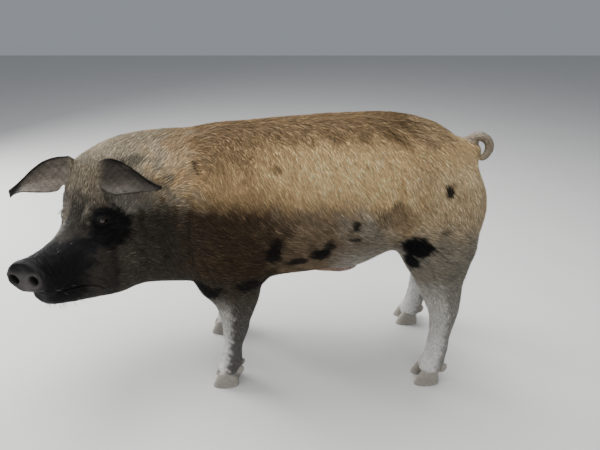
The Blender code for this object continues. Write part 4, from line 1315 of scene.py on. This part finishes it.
def make_tufts(name, tree, roots, normals, lies, length, width, lift, tone, places):
    """Closed tapered tufts that lie along the skin, each with its patch on the map."""
    count = len(roots)
    draw = np.random.default_rng(len(name) + count)
    side = np.cross(normals, lies)
    lies = unit(lies + side * draw.normal(0, 0.11, count)[:, None])
    length = length * draw.uniform(0.75, 1.20, count)
    rise = lift * draw.uniform(0.35, 1.0, count)
    bend = draw.normal(0, 0.05, count) * length
    thick = width * 0.30
    centres, ups = [roots], [normals]
    for part in TUFT_PARTS[1:]:
        target = roots + lies * (length * part)[:, None] + side * (bend * part**2)[:, None]
        found = [tree.find_nearest(Vector(place)) for place in target]
        centres.append(np.array([hit[0] for hit in found]))
        ups.append(np.array([hit[1] for hit in found]))
    heights = (np.zeros(count), rise * 0.60, rise)
    points = np.zeros((count, CORNERS, 3))
    for corner, (part, across, high) in enumerate(TUFT_RINGS):
        ring = TUFT_PARTS.index(part)
        sideways = unit(np.cross(ups[ring], lies), 1e-9)
        height = heights[ring] + high * thick * 2
        points[:, corner] = centres[ring] + sideways * (across * width)[:, None] + ups[ring] * height[:, None]
    dark = fall(np.max(tone, axis=1), 0.05, 0.25)
    shade = np.exp(draw.normal(0, 1, count) * (0.40 + 0.18 * dark))[:, None]
    # Each corner takes its painted shade or highlight.
    tones = np.clip((tone * shade)[:, None, :] * np.array(TUFT_SHADE_AND_HIGHLIGHT)[None, :, None], 0.001, 0.95)
    uvs = tuft_uvs(places, 0.0004)
    return fill_mesh(name, points.reshape(-1, 3), tuft_faces(count), tones.reshape(-1, 3), uvs)


def skin_samples(mesh, fields, weights, count):
    """Places spread over the mesh by weight: points, normals and the fields at them."""
    mesh.calc_loop_triangles()
    corners = np.empty(len(mesh.loop_triangles) * 3, np.int32)
    mesh.loop_triangles.foreach_get("vertices", corners)
    corners = corners.reshape(-1, 3)
    points, normals = surface(mesh)
    a, b, c = (points[corners[:, k]] for k in range(3))
    area = np.linalg.norm(np.cross(b - a, c - a), axis=1) / 2
    total = np.cumsum(area * weights[corners].mean(axis=1))
    picks = (np.arange(count) + rng.uniform(0, 1, count)) / count * total[-1]
    faces = corners[np.minimum(np.searchsorted(total, picks), len(corners) - 1)]
    u, v = rng.uniform(0, 1, (2, count))
    fold = u + v > 1
    u, v = np.where(fold, 1 - u, u), np.where(fold, 1 - v, v)
    shares = np.column_stack([1 - u - v, u, v])
    roots, ups = (np.einsum("ij,ijk->ik", shares, values[faces]) for values in (points, normals))
    return [roots, unit(ups), *(np.einsum("ij,ij->i", shares, field[faces]) for field in fields)]


# The coat: how many tufts in all, how wide one is for its length, and how much of the coat's depth it rises.
TUFTS = 225000
WIDTH_SHARE = 0.058
LEAST_WIDTH = 0.0008
LIFT_SHARE = 0.86
# Where the coat gets thinner towards the snout: (by how much, and where forward of the poll that starts and is full).
THINNING = ((1, 0.236, 0.252), (0.55, 0.09, 0.15), (0.35, -0.04, 0.04))
# Up to this height the feet have no tufts.
BARE_FOOT = 0.040


def tuft_density(points, length, ears, tails):
    """How densely the tufts stand at each point."""
    forward, left, up = in_head(points).T
    weight = 1 / (length * np.maximum(length * WIDTH_SHARE, LEAST_WIDTH))
    for share, start, full in THINNING:
        weight *= 1 - share * ramp(forward, start, full) * beside_head(left)
    weight *= 1 - 0.45 * fall(points[:, 2], 0.10, 0.30)
    weight *= points[:, 2] > BARE_FOOT
    weight *= 1 - 0.30 * tails
    for side in (1, -1):
        weight *= 1 - ears[-side][0] * (0.50 + 0.34 * ears[-side][1])
        centre, turn = eye_frame(side)
        out, across, rise = ((points - np.array(centre)) @ np.array(turn)).T
        lids = (np.abs(out) < 0.03) & (np.hypot(across, rise) < 0.03)
        weight[lids] *= ramp(almond(across[lids], rise[lids]), 1.45, 2.0)
    return weight


def coat_groups(roots, ears, on_tail):
    """The tufts of each piece of the coat, as (name, which, slot, places on its map)."""
    x, y, z = roots.T
    forward, left, up = in_head(roots).T
    on_ear = np.maximum(ears[-1][0], ears[1][0]) >= 0.5
    head = (forward > -0.045) & beside_head(left) & (z > HEAD_FLOOR) & ~on_ear
    neck = ~head & (x < -0.30) & (z > 0.36) & ~on_ear
    spine = spine_map(roots)
    groups = [
        ("coat_ears", on_ear, "ear", ear_map(roots, np.maximum(ears[-1][1], ears[1][1]))),
        ("coat_head_left", head & (left > 0), "coat", spine),
        ("coat_head_right", head & (left <= 0), "coat", spine),
        ("coat_neck", neck, "coat", spine),
        ("coat_tail", on_tail > 0.5, "tail", np.column_stack([z + x, y])),
    ]
    taken = head | neck | on_ear | (on_tail > 0.5)
    for leg in LEGS:
        fore = leg[1] is FRONT_LEG
        chosen = ~taken & (z < (0.38 if fore else 0.44)) & ((x < 0.1) == fore) & (np.sign(y) == leg[2])
        if fore:
            chosen &= np.abs(y) > 0.055
        taken = taken | chosen
        groups.append(("coat_" + leg[0], chosen, "leg", leg_map(roots, leg)))
    words = ("shoulders", "chest", "ribs", "flanks", "loins", "rump")
    part = np.searchsorted(np.quantile(x[~taken], np.arange(1, len(words)) / len(words)), x)
    return groups + [("coat_" + word, ~taken & (part == k), "coat", spine) for k, word in enumerate(words)]


def add_coat(skin, tree, ears, tails, marks):
    """Tufts over the whole skin, in one piece for each part of the body."""
    points, normals = surface(skin.data)
    weight = tuft_density(points, hair_length(points, normals, ears, tails), ears, tails)
    roots, ups, *found = skin_samples(skin.data, [*ears[-1], *ears[1], tails], weight, TUFTS)
    ears, tails = {-1: found[0:3], 1: found[3:6]}, found[6]
    lies = lie(roots, ups, ears, tails)
    length = hair_length(roots, ups, ears, tails)
    width = np.maximum(length * WIDTH_SHARE, LEAST_WIDTH) * rng.uniform(0.7, 1.3, len(roots))
    lift = coat_depth(roots, thin_share(ears, tails)) * LIFT_SHARE
    tone = colours(roots + lies * (0.5 * length)[:, None], ups, ears, tails, marks)
    made = []
    for name, chosen, slot, places in coat_groups(roots, ears, tails):
        rows = (values[chosen] for values in (roots, ups, lies, length, width, lift, tone, places))
        made.append((make_tufts(name, tree, *rows), slot))
    return made


# Long stiff bristles: (name, count, middle in the head's frame, half sizes, length, width, how far they stand out).
BRISTLES = (
    ("chin", 46, (0.190, 0.0, -0.352), (0.060, 0.050, 0.020), 0.026, 0.0007, 0.7),
    ("upper lip", 34, (0.200, 0.0, -0.285), (0.055, 0.060, 0.022), 0.018, 0.0006, 0.7),
    ("bridge", 14, (0.190, 0.0, -0.190), (0.055, 0.035, 0.020), 0.016, 0.0007, 0.8),
    ("brow", 18, (0.078, 0.0, -0.118), (0.020, 0.060, 0.016), 0.024, 0.0007, 0.6),
    ("cheek", 12, (0.100, 0.0, -0.300), (0.035, 0.100, 0.060), 0.018, 0.0006, 0.6),
)


# Lashes on each upper lid, their length and their width.
LASHES = 26
LASH_LENGTH = 0.013
LASH_WIDTH = 0.0006


def bristle_rows(mesh):
    """Whiskers and lashes, as (root, up, way, length, width, colour)."""
    points, normals = surface(mesh)
    local = in_head(points)
    made = []
    for name, count, middle, half, length, width, out in BRISTLES:
        inside = np.all(np.abs(local - middle) < half, axis=1) & (local[:, 0] < 0.25)
        for i in rng.choice(np.flatnonzero(inside), count):
            way = normals[i] * out - np.array(FORWARD) * rng.uniform(0.2, 0.7) + rng.normal(0, 0.12, 3)
            way[2] -= 0.25 if name in ("chin", "upper lip", "cheek") else 0.0
            size = (length * rng.uniform(0.6, 1.1), width)
            pale = name == "bridge" or rng.uniform() < 0.25
            tone = BRISTLE_PALE if pale else BRISTLE_DARK
            made.append((points[i], normals[i], way / np.linalg.norm(way), *size, tone))
    for side in (1, -1):
        centre, turn = eye_frame(side)
        for angle in math.pi * np.linspace(0.16, 0.84, LASHES):
            across, rise = LID_OPENING[0] * math.cos(angle), LID_OPENING[1] * math.sin(angle) ** 1.3
            root = centre + turn @ Vector((0.0155, across, rise))
            way = turn @ Vector((1.0, 0.55 * math.cos(angle), 0.25 + rng.normal(0, 0.10)))
            vectors = (root, turn @ UP, way.normalized())
            made.append((*map(np.array, vectors), LASH_LENGTH * rng.uniform(0.8, 1.1), LASH_WIDTH, LASH))
    return made


def add_bristles(mesh):
    """Whiskers on the muzzle, chin and brows, and lashes on the upper lids."""
    roots, ups, ways, lengths, widths, tones = (np.array(values) for values in zip(*bristle_rows(mesh)))
    side = unit(np.cross(ups, ways), 1e-9)
    over = np.cross(ways, side)
    sag = np.array((0, 0, -1.0)) * (lengths * 0.10)[:, None]
    corners = np.zeros((len(roots), CORNERS, 3))
    for corner, (part, across, high) in enumerate(TUFT_RINGS):
        centre = roots - ways * 0.0012 + ways * (lengths * part)[:, None] + sag * part**2
        corners[:, corner] = centre + (side * across + over * (high + 0.1) * 1.6) * widths[:, None]
    tone = np.repeat(tones, CORNERS, axis=0)
    return fill_mesh("bristles", corners.reshape(-1, 3), tuft_faces(len(roots)), tone, tuft_uvs(spine_map(roots)))


# Half sizes of the pupil.
PUPIL = (0.0040, 0.0028)


def eyeball(name, side):
    """A whole eyeball with the bulge of its cornea. Its colours are the iris, the pupil and the brownish white."""
    centre, turn = eye_frame(side)
    around, along = 64, 56
    points, tone = [], []
    for i in range(along + 1):
        angle = math.pi * (i / along) ** 1.35
        radius = EYE_RADIUS + 0.0007 * float(fall(angle, 0.30, 0.66))
        for k in range(around):
            turned = 2 * math.pi * k / around
            across = radius * math.sin(angle) * math.cos(turned)
            rise = radius * math.sin(angle) * math.sin(turned)
            points.append(np.array(centre + turn @ Vector((radius * math.cos(angle), across, rise))))
            off = math.hypot(across, rise) if angle < 1.5 else 1.0
            pupil = math.hypot(across / PUPIL[0], rise / PUPIL[1])
            streak = 1 + 0.25 * math.sin(turned * 23) * math.sin(turned * 9 + 1)
            iris = np.array(IRIS) * streak * (1 - 0.75 * float(ramp(off, 0.0052, 0.0074)))
            colour = iris + (np.array(EYE_WHITE) - iris) * float(ramp(off, 0.0070, 0.0080))
            tone.append(colour * float(0.03 + 0.97 * ramp(pupil, 0.90, 1.10)))
    triangles = []
    for i in range(along):
        for k in range(around):
            a, b = i * around + k, i * around + (k + 1) % around
            c, d = a + around, b + around
            if i > 0:
                triangles.append((a, c, b))
            if i < along - 1:
                triangles.append((b, c, d))
    obj = fill_mesh(name, np.array(points), triangles, np.array(tone))
    bm = bmesh.new()
    bm.from_mesh(obj.data)
    bmesh.ops.remove_doubles(bm, verts=bm.verts, dist=1e-6)
    bmesh.ops.recalc_face_normals(bm, faces=bm.faces)
    bm.to_mesh(obj.data)
    bm.free()
    return obj


def claw(name, foot, side):
    """One main claw: flat on its sole, with fine growth rings and a worn lower edge."""
    rings, tone = [], []
    rows = smooth_rows(CLAW, 56)
    rows[-1] = CLAW[-1]
    rows[:, 0] = np.clip(rows[:, 0], 0, 1)
    for z, heel, toe, half in rows:
        ring = []
        groove = -0.00035 * (0.5 + 0.5 * math.sin(z * 1500 + 2 * math.sin(z * 260))) * min(z / 0.004, 1)
        for t in np.linspace(0, 2 * math.pi, 56, endpoint=False):
            c, s = math.cos(t), math.sin(t)
            length = (toe if c > 0 else -heel) + groove
            x = -length * math.copysign(abs(c) ** 0.85, c)
            y = (half + groove) * math.copysign(abs(s) ** 0.8, s) * (1 - 0.28 * max(c, 0) ** 2)
            y = y if s * side > 0 else y * 0.80
            ring.append(Vector((x, y, z)))
            worn = 0.5 + 0.5 * math.sin(t * 3 + z * 300 + side)
            share = float(fall(z, 0.002, 0.016)) * (0.5 + 0.5 * worn)
            colour = np.array(HORN) + (np.array(HORN_WORN) - np.array(HORN)) * share
            tone.append(colour * (0.85 + 0.15 * math.sin(z * 1500)) * (0.80 + 0.20 * float(ramp(z, 0.0, 0.010))))
        rings.append(ring)
    turn = Matrix.Rotation(math.radians(-CLAW_TOE_OUT * side), 3, "Z")
    place = Vector((foot[0] + 0.006, foot[1] + side * CLAW_SPREAD, 0))
    obj = loft(name, [[place + turn @ p for p in ring] for ring in rings])
    set_tone(obj.data, np.array(tone))
    return obj


def dewclaw(name, foot, side):
    turn = Matrix.Rotation(math.radians(32), 3, "Y") @ Matrix.Rotation(math.radians(14 * side), 3, "X")
    obj = ellipsoid(name, (foot[0] + 0.050, foot[1] + side * 0.020, 0.066), DEWCLAW_RADII, turn, 36)
    ringed = 0.88 + 0.12 * np.sin(positions(obj.data)[:, 2] * 1700)
    set_tone(obj.data, np.array(HORN)[None] * ringed[:, None] * 0.9)
    return obj


def put(node, **values):
    """Sets a node's inputs, with an underscore for a blank, or else its settings."""
    for key, value in values.items():
        if key.replace("_", " ") in node.inputs:
            node.inputs[key.replace("_", " ")].default_value = value
        else:
            setattr(node, key, value)
    return node


class Nodes:
    """A material whose nodes are added one by one."""

    def __init__(self, name, **values):
        self.material = bpy.data.materials.new(name)
        self.material.use_nodes = True
        self.tree = self.material.node_tree
        self.shader = put(self.tree.nodes["Principled BSDF"], **values)

    def add(self, kind, **values):
        return put(self.tree.nodes.new(kind), **values)

    def link(self, source, target):
        self.tree.links.new(source, target)

    def base(self, colour, scale, detail, low, high):
        """The base colour, made darker and lighter by noise."""
        grain = self.span(self.noise(scale, detail), low, high)
        self.link(self.times(colour, grain), self.shader.inputs["Base Color"])

    def rough(self, scale, low, high):
        """A roughness that varies by noise."""
        self.link(self.span(self.noise(scale), low, high), self.shader.inputs["Roughness"])

    def tone(self):
        return self.add("ShaderNodeAttribute", attribute_name="tone").outputs["Color"]

    def place(self):
        return self.add("ShaderNodeTexCoord").outputs["Object"]

    def noise(self, scale, detail=4.0, stretch=(1, 1, 1)):
        mapping = self.add("ShaderNodeMapping", Scale=stretch)
        self.link(self.place(), mapping.inputs["Vector"])
        node = self.add("ShaderNodeTexNoise", Scale=scale, Detail=detail)
        self.link(mapping.outputs["Vector"], node.inputs["Vector"])
        return node.outputs["Fac"]

    def span(self, source, low, high):
        node = self.add("ShaderNodeMapRange", To_Min=low, To_Max=high)
        self.link(source, node.inputs["Value"])
        return node.outputs["Result"]

    def times(self, colour, value):
        node = self.add("ShaderNodeVectorMath", operation="SCALE")
        self.link(colour, node.inputs[0])
        self.link(value, node.inputs["Scale"])
        return node.outputs["Vector"]

    def bump(self, heights):
        """Chained bumps from (height, distance, strength)."""
        normal = None
        for height, distance, strength in heights:
            node = self.add("ShaderNodeBump", Distance=distance, Strength=strength)
            self.link(height, node.inputs["Height"])
            if normal is not None:
                self.link(normal, node.inputs["Normal"])
            normal = node.outputs["Normal"]
        self.link(normal, self.shader.inputs["Normal"])


def skin_material():
    made = Nodes("skin", Specular_IOR_Level=0.14)
    made.base(made.tone(), 260, 6, 0.55, 1.45)
    made.rough(90, 0.46, 0.70)
    cells = made.add("ShaderNodeTexVoronoi", Scale=520, feature="DISTANCE_TO_EDGE")
    made.link(made.place(), cells.inputs["Vector"])
    made.bump((
        (cells.outputs["Distance"], 0.0006, 0.55),
        (made.noise(420, 5), 0.0008, 0.60),
        (made.noise(60, 3), 0.0020, 0.30),
    ))
    return made.material


def hair_material():
    made = Nodes("hair", Roughness=0.46, Specular_IOR_Level=0.14)
    made.base(made.tone(), 900, 2, 0.72, 1.28)
    made.bump(((made.noise(1500, 2), 0.0003, 0.35),))
    return made.material


def horn_material():
    made = Nodes("horn")
    made.base(made.tone(), 120, 5, 0.60, 1.30)
    made.rough(70, 0.42, 0.66)
    made.bump(((made.noise(240, 4, (1, 1, 5)), 0.0006, 0.5),))
    return made.material


def eye_material():
    made = Nodes("eye", Roughness=0.08, Coat_Weight=1.0, Coat_Roughness=0.02)
    made.link(made.tone(), made.shader.inputs["Base Color"])
    made.bump(((made.noise(300, 2), 0.0001, 0.05),))
    return made.material


def floor_material():
    made = Nodes("floor", Roughness=0.85)
    pale = made.add("ShaderNodeRGB").outputs[0]
    pale.default_value = FLOOR
    made.base(pale, 3.0, 3, 0.97, 1.03)
    return made.material


def finish_piece(obj, material, slot, *nodes):
    obj.data.transform(Matrix.Translation(PLACE))
    obj.data.update()
    obj.data.materials.clear()
    obj.data.materials.append(material)
    obj.data.polygons.foreach_set("use_smooth", np.ones(len(obj.data.polygons), bool))
    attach(obj, "root")
    if nodes:
        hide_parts(*nodes)


def in_eye_zone(points, reach):
    """Which points lie within reach of an eye."""
    found = np.zeros(len(points), bool)
    for side in (1, -1):
        found[near_to(eye_frame(side)[0], points, reach)] = True
    return found


def near_mouth(points):
    return np.minimum(path_distance(points, mouth_side(1)), path_distance(points, mouth_side(-1))) < 0.016


def on_face(points):
    forward, left, up = in_head(points).T
    return (forward > -0.03) & (np.abs(left) < 0.15) & (points[:, 2] > 0.36)


def tail_shares(points, tree):
    """How much of the tail each point is."""
    shares = np.zeros(len(points))
    near = np.flatnonzero((points[:, 0] > 0.44) & (points[:, 2] > 0.70))
    gap = distances(tree, points[near], 0.006)
    shares[near] = fall(gap, 0.002, 0.005) * ramp(points[near, 0] + points[near, 2], 1.27, 1.31)
    return shares


def build_flesh():
    """The skin, its coat as (piece, slot), and the bristles."""
    body = flesh()
    trees, rims = {}, {}
    for side in (-1, 1):
        leaf = ear(side)
        rims[side] = positions(leaf.data)[::2 * EAR_SPAN - 2][:EAR_ROWS]
        trees[side] = add_limb(body, leaf, head_point(0.03, -side * 0.09, -0.05))
    rows = [(x, y, z, radius, radius) for x, y, z, radius in smooth_rows(TAIL, 60)]
    tail_tree = add_limb(body, tube("tail", rows, 28), TAIL[1][:3])
    refine(body, (
        on_face,
        lambda p: in_eye_zone(p, 0.040) | near_mouth(p) | ((in_head(p)[:, 0] > 0.236) & on_face(p)),
        lambda p: in_eye_zone(p, 0.026),
    ))
    mesh = body.data
    points, normals = surface(mesh)
    ears, tails = ear_shares(points, normals, trees, rims), tail_shares(points, tail_tree)
    thin = thin_share(ears, tails)
    marks = make_marks(tree_of(body))
    shape_skin(body, thin)
    points, normals = surface(mesh)
    tone = colours(points, normals, ears, tails, marks)
    forward, left, up = in_head(points).T
    # The skin under the coat is darkened as painted shade of the hair over it; bare skin keeps nearly its full tone.
    bare = np.maximum(thin, ramp(forward, 0.09, 0.14) * beside_head(left))
    bare = np.maximum(bare, 1 - ramp(points[:, 2], 0.05, 0.30) * 0.8)
    set_tone(mesh, tone * (0.80 + 0.18 * bare)[:, None])
    coat = add_coat(body, tree_of(body), ears, tails, marks)
    return body, coat, add_bristles(mesh)


def build_pig():
    body, coat, bristles = build_flesh()
    flesh_nodes = ["head", "neck", "torso", "snout", "tail", "ear_left", "ear_right"]
    flesh_nodes += [leg[0] for leg in LEGS]
    finish_piece(body, skin_material(), "coat", *flesh_nodes)
    hair, eyes, horn = hair_material(), eye_material(), horn_material()
    for obj, slot in coat + [(bristles, "coat")]:
        finish_piece(obj, hair, slot)
    for word, side in (("left", 1), ("right", -1)):
        finish_piece(eyeball("eyeball_" + word, side), eyes, "eye", "eye_" + word)
    for leg in LEGS:
        foot = leg_stations(leg)[-1]
        place = leg[0].replace("foreleg", "front").replace("hindleg", "hind")
        for word, way in (("outer", leg[2]), ("inner", -leg[2])):
            for kind, maker in (("claw", claw), ("dewclaw", dewclaw)):
                node = f"{kind}_{place}_{word}"
                finish_piece(maker("horn_" + node, foot, way), horn, "horn", node)


# Area lights aimed at the middle of the body: (name, place, size, power).
LIGHTS = (
    ("overhead", (0.1, 0.3, 3.2), 2.6, 175),
    ("side", (-2.9, 1.1, 1.6), 1.8, 150),
    ("front", (0.6, -3.4, 2.4), 2.5, 42),
)
LIT_PLACE = (0.0, 0.0, 0.5)
SKY_STRENGTH = 0.34
SENSOR = 36.0


def add_stage():
    """A pale floor and sky, a large soft light overhead, one at the side, one in front, and the photo's camera."""
    bm = bmesh.new()
    bmesh.ops.create_grid(bm, x_segments=1, y_segments=1, size=9)
    floor = object_from(bm, "floor")
    floor.data.materials.append(floor_material())
    for name, place, size, power in LIGHTS:
        light = bpy.data.lights.new(name, "AREA")
        light.size = size
        light.energy = power
        lamp = scene_object(name, light)
        lamp.location = place
        lamp.rotation_euler = (Vector(LIT_PLACE) - Vector(place)).to_track_quat("-Z", "Y").to_euler()
    world = bpy.data.worlds.new("world")
    world.use_nodes = True
    sky = world.node_tree.nodes["Background"].inputs
    sky["Color"].default_value, sky["Strength"].default_value = SKY, SKY_STRENGTH
    bpy.context.scene.world = world
    lens = bpy.data.cameras.new("camera")
    lens.sensor_width = SENSOR
    lens.lens = FOCAL_PIXELS / PICTURE[0] * SENSOR
    camera = scene_object("camera", lens)
    camera.location = Vector(CAMERA) + PLACE
    camera.rotation_euler = (math.radians(90 - CAMERA_DIP), 0, 0)
    bpy.context.scene.camera = camera


build_pig()
add_stage()
bpy.context.view_layer.update()
